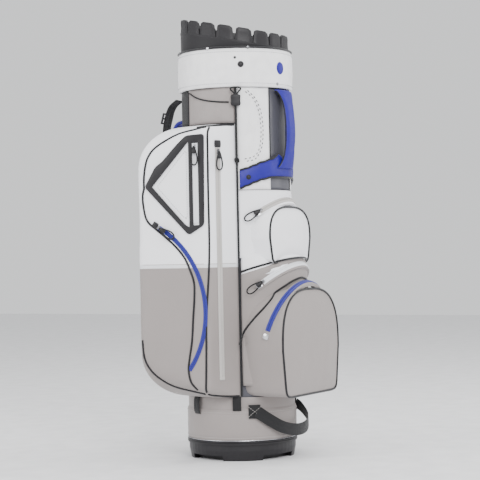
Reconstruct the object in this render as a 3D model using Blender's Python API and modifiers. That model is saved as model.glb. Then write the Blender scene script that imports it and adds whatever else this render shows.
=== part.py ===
"""Golf cart bag: a round bag on a moulded base, with an organiser top, pockets, zips and handles.

Frame: metres, +Z up, origin on the bag's axis at the floor. The front is -Y, the spine is +Y.
"""

import math

import bmesh
import bpy
from mathutils import Matrix, Vector

GAP = 0.0003  # clearance between neighbouring pieces
STEPS = 56  # facets round a turned piece

# Round structure
TUBE_OUT, TUBE_IN = 0.1045, 0.1025
SKIN_IN, SKIN_OUT = 0.1048, 0.1095  # fabric panels over the tube
BASE_R, BASE_SOLE_R = 0.1088, 0.1050
RIM_R, BAND_R, COLLAR_R, ORGANISER_R = 0.1120, 0.1110, 0.1160, 0.1100
FOOT_H, BASE_TOP, RIM_TOP, BAND_TOP = 0.0100, 0.0310, 0.0400, 0.1040
STRIP_TOP, NECK_LOW, COLLAR_LOW, COLLAR_TOP, TRIM_TOP = 0.1270, 0.6720, 0.7410, 0.8170, 0.8230
MOUTH_SLOPE, MOUTH_Z, LOBE_H = 0.2045, 0.8755, 0.0300
NOTCHES = 18
SEAM_ANGLE = 210.0  # where the side pocket meets the front pockets

# Left pocket in plan: the seam corner, the front edge and the rear edge of its outer panel
POCKET_SEAM = Vector((-0.0955, -0.0536))
POCKET_FRONT = Vector((-0.1630, -0.0220))
POCKET_REAR = Vector((-0.1900, 0.1280))
POCKET_LOW, POCKET_HIGH = 0.1275, 0.6680

parts = bpy.data.collections.new("golf_cart_bag")
cutters = bpy.data.collections.new("cutters")
finishes = {}


def finish(name, colour, roughness, metallic=0.0):
    """A Principled material, made once for each name."""
    if name not in finishes:
        made = bpy.data.materials.new(name)
        made.use_nodes = True
        shader = made.node_tree.nodes["Principled BSDF"]
        shader.inputs["Base Color"].default_value = (*colour, 1.0)
        shader.inputs["Roughness"].default_value = roughness
        shader.inputs["Metallic"].default_value = metallic
        finishes[name] = made
    return finishes[name]


def white():
    return finish("white_fabric", (0.82, 0.82, 0.84), 0.55)


def grey():
    return finish("grey_fabric", (0.36, 0.33, 0.31), 0.60)


def black():
    return finish("black_plastic", (0.012, 0.011, 0.012), 0.45)


def blue():
    return finish("blue_leather", (0.05, 0.04, 0.42), 0.45)


def silver():
    return finish("silver_metal", (0.70, 0.70, 0.72), 0.30, 1.0)


def add(name, data, look, home=None):
    """Link a new object with its finish; data is a mesh or a curve."""
    made = bpy.data.objects.new(name, data)
    (home or parts).objects.link(made)
    data.materials.append(look)
    if home is cutters:
        made.hide_render = True
        made.display_type = "WIRE"
    return made


def from_bmesh(name, shape, look, home=None):
    """Turn a bmesh into a linked object, with its faces pointing out."""
    bmesh.ops.recalc_face_normals(shape, faces=shape.faces)
    data = bpy.data.meshes.new(name)
    shape.to_mesh(data)
    shape.free()
    return add(name, data, look, home)


def loft(name, rings, look, home=None):
    """A closed solid through rings of equal length, with both ends capped."""
    shape = bmesh.new()
    loops = [[shape.verts.new(point) for point in ring] for ring in rings]
    count = len(rings[0])
    for low, high in zip(loops, loops[1:]):
        for i in range(count):
            j = (i + 1) % count
            shape.faces.new((low[i], low[j], high[j], high[i]))
    shape.faces.new(list(reversed(loops[0])))
    shape.faces.new(loops[-1])
    return from_bmesh(name, shape, look, home)


def bake(obj):
    """Apply the modifiers, so that the mesh can be reshaped by a formula."""
    bpy.context.view_layer.update()
    graph = bpy.context.evaluated_depsgraph_get()
    data = bpy.data.meshes.new_from_object(obj.evaluated_get(graph))
    obj.modifiers.clear()
    obj.data = data


def turned(name, profile, look):
    """A ring or disc turned from a closed profile of (radius, height) points."""
    data = bpy.data.meshes.new(name)
    on_axis = profile[0][0] == 0.0
    count = len(profile)
    edges = [(i, i + 1) for i in range(count - 1)]
    if not on_axis:
        edges.append((count - 1, 0))
    data.from_pydata([(r, 0.0, z) for r, z in profile], edges, [])
    made = add(name, data, look)
    screw = made.modifiers.new("turn", "SCREW")
    screw.steps = screw.render_steps = STEPS
    screw.use_merge_vertices = True
    screw.merge_threshold = 1e-5
    bake(made)
    shape = bmesh.new()
    shape.from_mesh(made.data)
    bmesh.ops.recalc_face_normals(shape, faces=shape.faces)
    shape.to_mesh(made.data)
    shape.free()
    return made


def sleeve(name, inner, outer, low, high, look):
    """A plain turned ring; its outer side runs down."""
    return turned(name, [(outer, high), (outer, low), (inner, low), (inner, high)], look)


def polar(radius, degrees, z=None):
    angle = math.radians(degrees)
    flat = (radius * math.cos(angle), radius * math.sin(angle))
    return Vector(flat) if z is None else Vector((*flat, z))


def arc_panel(name, start, end, inner, outer, low, high, look):
    """A curved sheet between two angles, standing upright."""
    steps = max(6, int(abs(end - start) / 7))
    turn = [start + (end - start) * i / steps for i in range(steps + 1)]
    outline = [polar(outer, a) for a in turn] + [polar(inner, a) for a in reversed(turn)]
    rings = [[Vector((*p, z)) for p in outline] for z in (low, high)]
    return loft(name, rings, look)


def block(name, size, place, look, home=None):
    """A box from its three sides, moved and turned by a matrix."""
    shape = bmesh.new()
    bmesh.ops.create_cube(shape, size=1.0)
    bmesh.ops.scale(shape, vec=size, verts=shape.verts)
    bmesh.ops.transform(shape, matrix=place, verts=shape.verts)
    return from_bmesh(name, shape, look, home)


def cord(name, points, radius, look, closed=False, home=None, sides=2):
    """A round tube along a POLY route, capped where it is open."""
    data = bpy.data.curves.new(name, "CURVE")
    data.dimensions = "3D"
    data.bevel_depth = radius
    data.bevel_resolution = sides
    data.use_fill_caps = not closed
    data.resolution_u = 1
    spline = data.splines.new("POLY")
    spline.points.add(len(points) - 1)
    for slot, point in zip(spline.points, points):
        slot.co = (*point, 1.0)
    spline.use_cyclic_u = closed
    return add(name, data, look, home)


def to_mesh(obj):
    """A curve made into a mesh object with welded caps, so that it can cut or be cut."""
    graph = bpy.context.evaluated_depsgraph_get()
    data = bpy.data.meshes.new_from_object(obj.evaluated_get(graph))
    shape = bmesh.new()
    shape.from_mesh(data)
    bmesh.ops.remove_doubles(shape, verts=shape.verts, dist=1e-6)
    shape.to_mesh(data)
    shape.free()
    home, name = obj.users_collection[0], obj.name
    look = obj.data.materials[0]
    place = obj.matrix_world.copy()
    bpy.data.objects.remove(obj)
    data.materials.clear()
    made = add(name, data, look, home)
    made.matrix_world = place
    return made


def cut(obj, *tools):
    """Take each cutter away from the object with an EXACT Boolean."""
    for tool in tools:
        knife = obj.modifiers.new("cut_" + tool.name, "BOOLEAN")
        knife.operation = "DIFFERENCE"
        knife.object = tool
        knife.solver = "EXACT"


def smooth_route(points, spacing):
    """Evenly spaced points on a Catmull-Rom curve through hand-chosen points."""
    ends = [2 * points[0] - points[1], *points, 2 * points[-1] - points[-2]]
    fine = []
    for a, b, c, d in zip(ends, ends[1:], ends[2:], ends[3:]):
        for k in range(24):
            t = k / 24
            fine.append(0.5 * (2 * b + (c - a) * t + (2 * a - 5 * b + 4 * c - d) * t**2
                               + (3 * b - a - 3 * c + d) * t**3))
    fine.append(points[-1])
    total = sum((q - p).length for p, q in zip(fine, fine[1:]))
    count = max(4, round(total / spacing))
    route, walked, want = [fine[0]], 0.0, total / count
    for p, q in zip(fine, fine[1:]):
        step = (q - p).length
        while walked + step >= want - 1e-9 and len(route) < count:
            route.append(p.lerp(q, (want - walked) / step))
            want += total / count
        walked += step
    route.append(fine[-1])
    return route


def ribbon(name, points, across, width, thick, look, spacing=0.012):
    """A flat strap swept along a route; across is the direction of its width."""
    route = smooth_route(points, spacing)
    rings = []
    for i, here in enumerate(route):
        along = (route[min(i + 1, len(route) - 1)] - route[max(i - 1, 0)]).normalized()
        side = (across - along * across.dot(along)).normalized()
        up = along.cross(side)
        rings.append([here + side * width / 2 * a + up * thick / 2 * b
                      for a, b in ((-1, -1), (1, -1), (1, 1), (-1, 1))])
    return loft(name, rings, look)


# ---------------------------------------------------------------- round structure

def notch_cutters():
    """Radial cutters round the mouth: each gap between two lobes, with a round bottom."""
    shape = bmesh.new()
    width = 0.0085
    bottom = MOUTH_Z - LOBE_H
    for i in range(NOTCHES):
        turn = Matrix.Rotation(math.tau * (i + 0.5) / NOTCHES, 4, "Z")
        outline = [(-width / 2, bottom + 0.004), (-width / 4, bottom), (width / 4, bottom),
                   (width / 2, bottom + 0.004), (width * 0.62, MOUTH_Z + 0.01),
                   (-width * 0.62, MOUTH_Z + 0.01)]
        loops = [[shape.verts.new(turn @ Vector((r, y, z))) for y, z in outline]
                 for r in (ORGANISER_R - 0.016, ORGANISER_R + 0.006)]
        count = len(outline)
        for k in range(count):
            j = (k + 1) % count
            shape.faces.new((loops[0][k], loops[0][j], loops[1][j], loops[1][k]))
        shape.faces.new(list(reversed(loops[0])))
        shape.faces.new(loops[1])
    return from_bmesh("notch_cutter", shape, black(), cutters)


def slope_mouth(obj, low, high):
    """Shear a piece so that everything above high follows the sloping mouth."""
    for vertex in obj.data.vertices:
        share = min(1.0, max(0.0, (vertex.co.z - low) / (high - low)))
        vertex.co.z += MOUTH_SLOPE * vertex.co.y * share


def club_ways():
    """The 14 club ways as (x, y, width, depth): rows of 3, 4, 4 and 3."""
    ways = []
    for side in (-1, 1):
        for x in (-0.039, 0.0, 0.039):
            ways.append((x, side * 0.066, 0.034, 0.030))
        for x in (-0.0685, -0.0235, 0.0235, 0.0685):
            ways.append((x, side * 0.024, 0.039, 0.042))
    return ways


def organiser():
    ring_low, skirt, wall = 0.7800, 0.8050, 0.0090
    profile = [(ORGANISER_R, MOUTH_Z), (ORGANISER_R, skirt), (ORGANISER_R, ring_low),
               (ORGANISER_R - wall, ring_low), (ORGANISER_R - wall, skirt),
               (ORGANISER_R - wall, MOUTH_Z)]
    ring = turned("organiser_ring", profile, black())
    cut(ring, notch_cutters())
    bake(ring)
    slope_mouth(ring, ring_low, skirt)

    grid_top, grid_low = MOUTH_Z - LOBE_H - 0.002, MOUTH_Z - LOBE_H - 0.018
    grid_r = ORGANISER_R - wall - GAP
    grid = turned("organiser_grid", [(0.0, grid_top), (grid_r, grid_top), (grid_r, grid_low),
                                     (0.0, grid_low)], black())
    for i, (x, y, wide, deep) in enumerate(club_ways()):
        tool = block(f"way_cutter_{i}", (wide, deep, 0.2), Matrix.Translation((x, y, 0.83)),
                     black(), cutters)
        cut(grid, tool)
    bake(grid)
    for vertex in grid.data.vertices:
        vertex.co.z += MOUTH_SLOPE * vertex.co.y


def base():
    sole = turned("base_moulding", [(0.0, BASE_TOP), (BASE_R, BASE_TOP), (BASE_R, 0.020),
                                    (BASE_SOLE_R, 0.0), (0.0, 0.0)], black())
    for i in range(4):
        turn = Matrix.Rotation(math.radians(SEAM_ANGLE + 45 + 90 * i), 4, "Z")
        place = turn @ Matrix.Translation((0.104, 0.0, 0.0))
        cut(sole, block(f"foot_cutter_{i}", (0.040, 0.082, 2 * FOOT_H), place, black(), cutters))
    sleeve("base_rim", 0.0980, RIM_R, BASE_TOP + GAP, RIM_TOP, black())
    inner, strip_r = TUBE_OUT + GAP, 0.1085
    turned("base_band", [(strip_r, STRIP_TOP), (strip_r, BAND_TOP), (BAND_R, BAND_TOP - 0.002),
                         (BAND_R, RIM_TOP + GAP), (inner, RIM_TOP + GAP), (inner, STRIP_TOP)],
           grey())
    turned("inner_floor", [(0.0, 0.0500), (0.0970, 0.0500), (0.0970, BASE_TOP + GAP),
                           (0.0, BASE_TOP + GAP)], black())


def tube_and_collar():
    sleeve("tube_wall", TUBE_IN, TUBE_OUT, RIM_TOP + GAP, 0.7797, grey())
    sleeve("collar_cuff", ORGANISER_R + GAP, COLLAR_R, COLLAR_LOW, COLLAR_TOP, white())
    sleeve("collar_trim", ORGANISER_R + GAP, COLLAR_R + 0.001, COLLAR_TOP + GAP, TRIM_TOP - 0.002,
           black())
    divider_top, divider_low = 0.7750, 0.0503
    for name, y in (("divider_front", -0.048), ("divider_middle", 0.0), ("divider_rear", 0.048)):
        wide = 2 * (math.sqrt(TUBE_IN**2 - y**2) - 0.002)
        height = divider_top - divider_low
        place = Matrix.Translation((0.0, y, (divider_top + divider_low) / 2))
        block(name, (wide, 0.0020, height), place, black())
    for side, angle in (("left", 105), ("right", 75)):
        foot = polar(0.0960, angle, 0.0503)
        cord(f"spine_stay_{side}", [foot, foot + Vector((0, 0, 0.715))], 0.0035, silver())


def skins():
    """Fabric panels over the tube between the pockets."""
    high = COLLAR_LOW - GAP
    arc_panel("spine_panel", 62, 118, SKIN_IN, 0.1120, STRIP_TOP + GAP, NECK_LOW - GAP, grey())
    arc_panel("neck_back_panel", 30.2, 149.8, SKIN_IN, SKIN_OUT, NECK_LOW, high, black())
    arc_panel("neck_left_panel", 150.2, 209.4, SKIN_IN, SKIN_OUT, NECK_LOW, high, grey())
    arc_panel("neck_right_panel", -29.4, 29.8, SKIN_IN, SKIN_OUT, NECK_LOW, high, grey())
    arc_panel("front_panel", 210.2, 329.8, SKIN_IN, SKIN_OUT, 0.4100, 0.5367, white())
    arc_panel("front_left_panel", 210.2, 251.5, SKIN_IN, SKIN_OUT, 0.5370, high, white())
    arc_panel("front_right_panel", 288.5, 329.8, SKIN_IN, SKIN_OUT, 0.5370, high, white())


# ---------------------------------------------------------------- side pockets

def mirrored(rings, right):
    """The same rings, or their mirror image in the bag's middle plane."""
    if not right:
        return rings
    return [[Vector((-p.x, p.y, p.z)) for p in ring] for ring in rings]


def side_pocket_plan():
    """Plan points of the left pocket as (tube point, full point, shoulder height)."""
    rear_root = polar(SKIN_OUT, 120)
    seam = POCKET_SEAM.copy()
    corners = [(seam, 0.0, 0.006), (POCKET_FRONT, 0.010, 0.024), (POCKET_REAR, 0.026, 0.085),
               (rear_root, 0.0, 0.030)]
    outer = [(seam, 0.006)]
    for k in (1, 2):
        here, radius, rise = corners[k]
        before, after = corners[k - 1][0], corners[k + 1][0]
        start = here + (before - here).normalized() * radius
        end = here + (after - here).normalized() * radius
        near = corners[k - 1][2]
        for i in range(1, 4):
            outer.append((before.lerp(start, i / 4), near + (rise - near) * i / 4))
        for i in range(6):
            t = i / 5
            bend = (1 - t)**2 * start + 2 * t * (1 - t) * here + t * t * end
            outer.append((bend, rise))
    last = POCKET_REAR + (rear_root - POCKET_REAR).normalized() * 0.026
    for i in range(1, 5):
        outer.append((last.lerp(rear_root, i / 4), 0.085 + (0.030 - 0.085) * i / 4))
    return outer


def side_pocket(name, right):
    """A full-length pocket: upright walls with rounded shoulders at its top and bottom."""
    outer = side_pocket_plan()
    inner_arc = [polar(SKIN_IN, a) for a in range(120, 210, 5)] + [polar(SKIN_IN, 209.3)]
    turns = [math.radians(a) for a in (12, 25, 40, 55, 72, 90)]
    levels = [(-1, t) for t in turns] + [(1, t) for t in reversed(turns)]
    rings = []
    for side, turn in levels:
        reach, drop = math.sin(turn), 1 - math.cos(turn)
        edge = POCKET_LOW if side < 0 else POCKET_HIGH
        ring = []
        for point, rise in outer:
            root = point.normalized() * SKIN_OUT
            flat = root + (point - root) * reach
            ring.append(Vector((*flat, edge - side * rise * drop)))
        for point in inner_arc:
            ring.append(Vector((*point, edge - side * 0.004 * drop)))
        rings.append(ring)
    return loft(name, mirrored(rings, right), grey())


# ---------------------------------------------------------------- front pockets

def arch(half, low, crown, radius, spread, y, grow):
    """An outline in a plane of constant y: a round top on upright sides."""
    centre = crown - radius
    points = [(-half - grow, low + 0.018 - grow), (-half + 0.005, low + 0.005 - grow),
              (-half + 0.018, low - grow), (half - 0.018, low - grow),
              (half - 0.005, low + 0.005 - grow), (half + grow, low + 0.018 - grow)]
    shoulder = centre + radius * math.cos(math.radians(spread)) - 0.02
    points.append((half + grow, max(shoulder, low + 0.03)))
    for i in range(13):
        a = math.radians(spread * (1 - i / 6))
        points.append(((radius + grow) * math.sin(a), centre + (radius + grow) * math.cos(a)))
    points.append((-half - grow, max(shoulder, low + 0.03)))
    return [Vector((x, y, z)) for x, z in points]


def front_pocket(name, back, front, crown, look, home=None, grow=0.0):
    """A loft from the outline at the bag to the outer panel, with a softly crowned front.

    back and front are (y, half width, low, crown height, arch radius, arch spread)."""
    rings = []
    for share, inset in ((0.0, 0.0), (0.5, 0.0), (0.93, 0.0), (1.0, 0.006)):
        mixed = [b + (f - b) * share for b, f in zip(back, front)]
        y, half, low, high, radius, spread = mixed
        outline = arch(half - inset, low + inset, high - inset, radius - inset, spread,
                       y - (grow if share == 1.0 else 0), grow)
        rings.append(outline)
    middle = rings[-1]
    centre = sum(middle, Vector()) / len(middle)
    for scale, push in ((0.7, crown * 0.75), (0.35, crown)):
        rings.append([centre + (p - centre) * scale + Vector((0, -push, 0)) for p in middle])
    return loft(name, rings, look, home)


UPPER_POCKET = ((-0.072, 0.080, 0.410, 0.525, 0.0930, 57.0),
                (-0.120, 0.085, 0.408, 0.503, 0.0972, 59.0))
LOWER_POCKET = ((-0.0575, 0.0930, 0.1280, 0.3520, 0.0950, 76.0),
                (-0.163, 0.1200, 0.1290, 0.3390, 0.1330, 62.0))


def tube_cutter():
    """The round body with its skins, taken away from every front pocket."""
    body = turned("body_cutter", [(0.0, 0.75), (0.1100, 0.75), (0.1100, 0.05), (0.0, 0.05)], black())
    parts.objects.unlink(body)
    cutters.objects.link(body)
    body.hide_render = True
    body.display_type = "WIRE"
    return body


def middle_pocket():
    """The band between the upper and the lower pocket, half an ellipse in plan."""
    wide, deep, back = 0.0940, 0.0860, -0.0575
    rings = []
    for z, inset in ((0.1500, 0.0), (0.3930, 0.0), (0.4010, 0.003), (0.4050, 0.009)):
        turns = [math.pi * i / 24 for i in range(25)]
        rings.append([Vector(((wide - inset) * math.cos(a), back - (deep - inset) * math.sin(a), z))
                      for a in turns])
    return loft("front_middle_pocket", rings, grey())


def front_pockets():
    body = tube_cutter()
    upper = front_pocket("front_upper_pocket", *UPPER_POCKET, 0.003, white())
    middle = middle_pocket()
    lower = front_pocket("front_lower_pocket", *LOWER_POCKET, 0.004, grey())
    lower_room = front_pocket("lower_room", *LOWER_POCKET, 0.004, grey(), cutters, 0.0014)
    cut(middle, lower_room)
    for pocket, arc in ((upper, UPPER_ZIP), (middle, MIDDLE_ZIP), (lower, LOWER_ZIP)):
        arc.channel(pocket)
        cut(pocket, body)


# ---------------------------------------------------------------- zips

TAPE_R, CHANNEL_R = 0.0016, 0.0056  # a curved zip, and the channel its slider runs in
SLIDER = (0.0100, 0.0062, 0.0034)  # along the zip, across it, out from it
PULL_R, PULL_LONG, PULL_WIDE = 0.0013, 0.0360, 0.0190


def pull_loop(name, pivot, down, across, look):
    """A cord loop hanging from a slider; its origin is on its hinge."""
    points = []
    for i in range(18):
        a = math.tau * i / 18
        share = (1 - math.cos(a)) / 2
        wide = PULL_WIDE / 2 * math.sin(a) * (0.35 + 0.65 * share)
        points.append(down * PULL_LONG * share + across * wide)
    loop = cord(name, points, PULL_R, look, closed=True)
    loop.location = pivot
    return loop


def slider_at(name, origin, centre, along, across, out):
    """A zip slider as a bevelled block; its origin is on its joint's axis."""
    turn = Matrix((along, across, out)).transposed().to_4x4()
    place = Matrix.Translation(centre - origin) @ turn
    body = block(name, SLIDER, place, silver())
    body.location = origin
    round_off = body.modifiers.new("round", "BEVEL")
    round_off.width = 0.0008
    round_off.segments = 1
    return body


class ArcZip:
    """A zip on a circle: crown is its highest point, end the far end of one side.

    side is -1 when the slider rests at the left end and 1 when it rests at the right end."""

    def __init__(self, crown, end, reach, side=-1):
        self.crown, self.reach, self.side = crown, math.radians(reach), side
        middle = Vector((crown.x, end.y, end.z))
        fall = (middle - crown).normalized()
        half, depth = abs(end.x - crown.x), (middle - crown).length
        self.radius = (half**2 + depth**2) / (2 * depth)
        self.centre = crown + fall * self.radius
        self.out = -fall
        self.normal = Vector((1, 0, 0)).cross(self.out).normalized()

    def radial(self, turn):
        return Vector((1, 0, 0)) * math.sin(turn) + self.out * math.cos(turn)

    def route(self, extra=0.0, count=26):
        span = self.reach + extra
        return [self.centre + self.radial(-span + 2 * span * i / count) * self.radius
                for i in range(count + 1)]

    def channel(self, pocket):
        tool = to_mesh(cord(pocket.name + "_channel", self.route(0.16), CHANNEL_R, black(),
                            home=cutters, sides=2))
        cut(pocket, tool)

    def build(self, name, look):
        cord(name + "_zip", self.route(), TAPE_R, look)
        out = self.radial(self.side * self.reach)
        along = self.normal.cross(out)
        centre = self.centre + out * (self.radius + TAPE_R + GAP + SLIDER[2] / 2)
        slider_at(name + "_slider", self.centre, centre, along, self.normal, out)
        pivot = centre + out * (SLIDER[2] / 2 + GAP + PULL_R)
        down = along if along.z < 0 else -along
        pull_loop(name + "_pull", pivot, down, self.normal, black())


UPPER_ZIP = ArcZip(Vector((0, -0.1190, 0.5190)), Vector((0.0743, -0.0810, 0.4870)), 58)
MIDDLE_ZIP = ArcZip(Vector((0, -0.1440, 0.3900)), Vector((0.0884, -0.0880, 0.3430)), 68)
LOWER_ZIP = ArcZip(Vector((0, -0.1570, 0.3550)), Vector((0.1090, -0.1120, 0.2230)), 84,
                   side=1)


class Panel:
    """A flat upright face of the left pocket, between two plan corners."""

    def __init__(self, start, end, right=False):
        flip = -1 if right else 1
        self.start = Vector((flip * start.x, start.y, 0))
        self.along = (Vector((flip * end.x, end.y, 0)) - self.start).normalized()
        self.out = Vector((self.along.y, -self.along.x, 0))
        if self.out.dot(self.start) < 0:
            self.out = -self.out

    def at(self, w, z, lift=0.0):
        return self.start + self.along * w + self.out * lift + Vector((0, 0, z))


def circle_through(p, q, r):
    """Centre and radius of the circle through three plane points."""
    a, b = q - p, r - p
    d = 2 * (a.x * b.y - a.y * b.x)
    x = (b.y * a.length_squared - a.y * b.length_squared) / d
    y = (a.x * b.length_squared - b.x * a.length_squared) / d
    centre = p + Vector((x, y))
    return centre, (p - centre).length


def straight_zip(name, panel, w, high, low, look):
    """A straight upright zip with its slider at the top."""
    tape_wide, tape_thick = 0.0080, 0.0012
    turn = Matrix((panel.along, Vector((0, 0, 1)), panel.out)).transposed().to_4x4()
    middle = panel.at(w, (high + low) / 2, GAP + tape_thick / 2)
    block(name + "_zip", (tape_wide, high - low, tape_thick), Matrix.Translation(middle) @ turn,
          look)
    up = Vector((0, 0, 1))
    lift = GAP + tape_thick + GAP + SLIDER[2] / 2
    centre = panel.at(w, high - 0.008, lift)
    slider_at(name + "_slider", centre, centre, up, panel.along, panel.out)
    pivot = centre + panel.out * (SLIDER[2] / 2 + GAP + PULL_R)
    pull_loop(name + "_pull", pivot, -up, panel.along, black())


APPAREL_START, APPAREL_BEND, APPAREL_END = ((0.100, 0.466), (0.0242, 0.383), (0.0157, 0.234))
APPAREL_LOW = 0.185


def apparel_zip(name, panel):
    """The long curved zip of a side pocket, an arc in the plane of its outer panel."""
    start, bend, end = (Vector(p) for p in (APPAREL_START, APPAREL_BEND, APPAREL_END))
    centre, radius = circle_through(start, bend, end)
    first = math.atan2(start.y - centre.y, start.x - centre.x)
    last = math.pi + math.asin((centre.y - APPAREL_LOW) / radius)
    steps, half, thick = 26, 0.0040, 0.0012

    def ring(i):
        a = first + (last - first) * i / steps
        return [panel.at(centre.x + (radius + s * half) * math.cos(a),
                         centre.y + (radius + s * half) * math.sin(a), lift)
                for s, lift in ((-1, GAP), (1, GAP), (1, GAP + thick), (-1, GAP + thick))]

    loft(name + "_zip", [ring(i) for i in range(steps + 1)], blue())
    a = first + 0.02
    lift = 2 * GAP + thick + SLIDER[2] / 2
    hub = panel.at(centre.x, centre.y, lift)
    place = panel.at(centre.x + radius * math.cos(a), centre.y + radius * math.sin(a), lift)
    across = (place - hub).normalized()
    along = panel.out.cross(across)
    slider_at(name + "_slider", hub, place, along, across, panel.out)
    pivot = place + panel.out * (SLIDER[2] / 2 + GAP + PULL_R)
    down = along if along.z < 0 else -along
    pull_loop(name + "_pull", pivot, down, across, black())


def rounded(points, radius, steps=3):
    """A closed plane outline with its corners rounded by short curves."""
    result = []
    for i, here in enumerate(points):
        before, after = points[i - 1], points[(i + 1) % len(points)]
        a = here + (before - here).normalized() * radius
        b = here + (after - here).normalized() * radius
        for k in range(steps + 1):
            t = k / steps
            result.append((1 - t)**2 * a + 2 * t * (1 - t) * here + t * t * b)
    return result


def valuables_frame(panel):
    """The moulded frame round the valuables pocket."""
    outer = [(0.0072, 0.648), (0.0447, 0.6454), (0.0652, 0.6274), (0.1079, 0.5856),
             (0.1318, 0.5467), (0.0380, 0.4500), (0.0072, 0.4710)]
    inner = [(0.0360, 0.636), (0.1180, 0.547), (0.0435, 0.468), (0.0345, 0.466)]
    outline = rounded([Vector(p) for p in outer], 0.006)
    window = rounded([Vector(p) for p in inner], 0.003)
    slot = rounded([Vector(p) for p in ((0.0255, 0.632), (0.0255, 0.471), (0.0150, 0.471),
                                        (0.0150, 0.632))], 0.002)
    plate = loft("valuables_frame", [[panel.at(*p, lift) for p in outline]
                                     for lift in (GAP, 0.0028)], black())
    for name, hole in (("window_cutter", window), ("slot_cutter", slot)):
        cut(plate, loft(name, [[panel.at(*p, lift) for p in hole] for lift in (-0.01, 0.02)],
                        black(), cutters))


# ---------------------------------------------------------------- handles, straps and cords

def handles():
    up = Vector((1, 0, 0))
    ribbon("front_handle", [Vector((0, y, z)) for y, z in (
        (-0.1125, 0.7345), (-0.1240, 0.7210), (-0.1275, 0.6900), (-0.1275, 0.6500),
        (-0.1240, 0.6150), (-0.1190, 0.5930))], up, 0.0300, 0.0110, blue())
    arc_panel("handle_yoke", 210.6, 329.4, SKIN_OUT + GAP, 0.1125, 0.5480, 0.5860, blue())
    ribbon("rear_handle", [Vector((0.010, y, z)) for y, z in (
        (0.1128, 0.6900), (0.1400, 0.6840), (0.1520, 0.6600), (0.1540, 0.6200),
        (0.1500, 0.5850), (0.1380, 0.5620), (0.1128, 0.5560))], up, 0.0300, 0.0100, blue())


def shoulder_strap():
    across = Vector((1, 0, 0))
    ribbon("strap_web_upper", [Vector(p) for p in (
        (-0.045, 0.1060, 0.7300), (-0.046, 0.1250, 0.7140), (-0.047, 0.1360, 0.6840),
        (-0.047, 0.1400, 0.6500))], across, 0.0300, 0.0030, black())
    ribbon("shoulder_pad", [Vector(p) for p in (
        (-0.047, 0.1405, 0.6490), (-0.047, 0.1460, 0.6100), (-0.047, 0.1470, 0.5600),
        (-0.047, 0.1430, 0.5000))], across, 0.0440, 0.0100, black())
    ribbon("strap_web_lower", [Vector(p) for p in (
        (-0.047, 0.1428, 0.4990), (-0.046, 0.1360, 0.4500), (-0.045, 0.1270, 0.4180),
        (-0.045, 0.1110, 0.4040))], across, 0.0300, 0.0030, black())


def base_straps():
    sag = ((0.1162, 225, 0.098), (0.1185, 238, 0.080), (0.1240, 252, 0.064),
           (0.1300, 268, 0.057), (0.1350, 284, 0.061), (0.1340, 298, 0.075),
           (0.1240, 309, 0.092), (0.1162, 315, 0.100))
    ribbon("base_web_strap", [polar(*p) for p in sag], Vector((0, 0, 1)), 0.0240, 0.0024,
           black(), 0.010)


TAIL_AT = (0.1145, SEAM_ANGLE)


def bungee():
    held = [polar(0.1118, a, z) for a, z in ((154, 0.7345), (165, 0.7240), (178, 0.7165),
                                             (192, 0.7125), (203, 0.7110))]
    cord("bungee_cord", smooth_route(held, 0.006), 0.0016, black())
    foot = polar(*TAIL_AT, 0.6000)
    cord("bungee_tail", [foot + Vector((0, 0, 0.1380 * i / 14)) for i in range(15)], 0.0020,
         black())
    out = polar(1.0, SEAM_ANGLE, 0.0)
    side = Vector((-out.y, out.x, 0))
    turn = Matrix((side, Vector((0, 0, 1)), out)).transposed().to_4x4()
    lock = block("cord_lock", (0.0200, 0.0100, 0.0080), turn, black())
    lock.location = polar(*TAIL_AT, 0.7150)
    bore = to_mesh(cord("lock_bore", [polar(*TAIL_AT, 0.6), polar(*TAIL_AT, 0.8)], 0.0028,
                        black(), home=cutters))
    cut(lock, bore)
    knot = block("bungee_knot", (0.0070, 0.0070, 0.0100), turn, black())
    knot.location = foot - Vector((0, 0, 0.0053))
    soften = knot.modifiers.new("soften", "SUBSURF")
    soften.levels = soften.render_levels = 2


def collar_snap():
    """The large snap on the collar, a low cone standing on the cuff."""
    place = polar(COLLAR_R + GAP, SEAM_ANGLE, 0.7985)
    out = polar(1.0, SEAM_ANGLE, 0.0)
    shape = bmesh.new()
    bmesh.ops.create_cone(shape, cap_ends=True, segments=20, radius1=0.0065, radius2=0.0046,
                          depth=0.0024)
    bmesh.ops.transform(shape, matrix=out.to_track_quat("Z", "Y").to_matrix().to_4x4(),
                        verts=shape.verts)
    from_bmesh("collar_snap", shape, black()).location = place + out * 0.0013


def zips():
    seam, front, rear = POCKET_SEAM, POCKET_FRONT, POCKET_REAR
    near, side = Panel(seam, front), Panel(front, rear)
    side_right = Panel(front, rear, True)
    centre_w = 0.0447
    straight_zip("centre_left", near, centre_w, 0.6200, 0.1700, grey())
    straight_zip("valuables", side, 0.0203, 0.6300, 0.4730, white())
    apparel_zip("apparel_left", side)
    apparel_zip("apparel_right", side_right)
    UPPER_ZIP.build("front_upper", grey())
    MIDDLE_ZIP.build("front_middle", white())
    LOWER_ZIP.build("front_lower", blue())
    valuables_frame(side)


def main():
    for obj in list(bpy.data.objects):
        bpy.data.objects.remove(obj, do_unlink=True)
    bpy.context.scene.collection.children.link(parts)
    bpy.context.scene.collection.children.link(cutters)
    base()
    tube_and_collar()
    organiser()
    skins()
    side_pocket("side_pocket_left", False)
    side_pocket("side_pocket_right", True)
    front_pockets()
    zips()
    handles()
    shoulder_strap()
    base_straps()
    bungee()
    collar_snap()


main()
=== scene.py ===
"""Golf cart bag: the visible model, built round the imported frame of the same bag.

The frame is in metres, +Z up. The bag's axis is at x = y = 0, its front at -Y, its spine at +Y.
"""
from __future__ import annotations

import logging
import math
from dataclasses import dataclass
from enum import Enum
from typing import Callable, Iterable, Sequence

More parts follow.
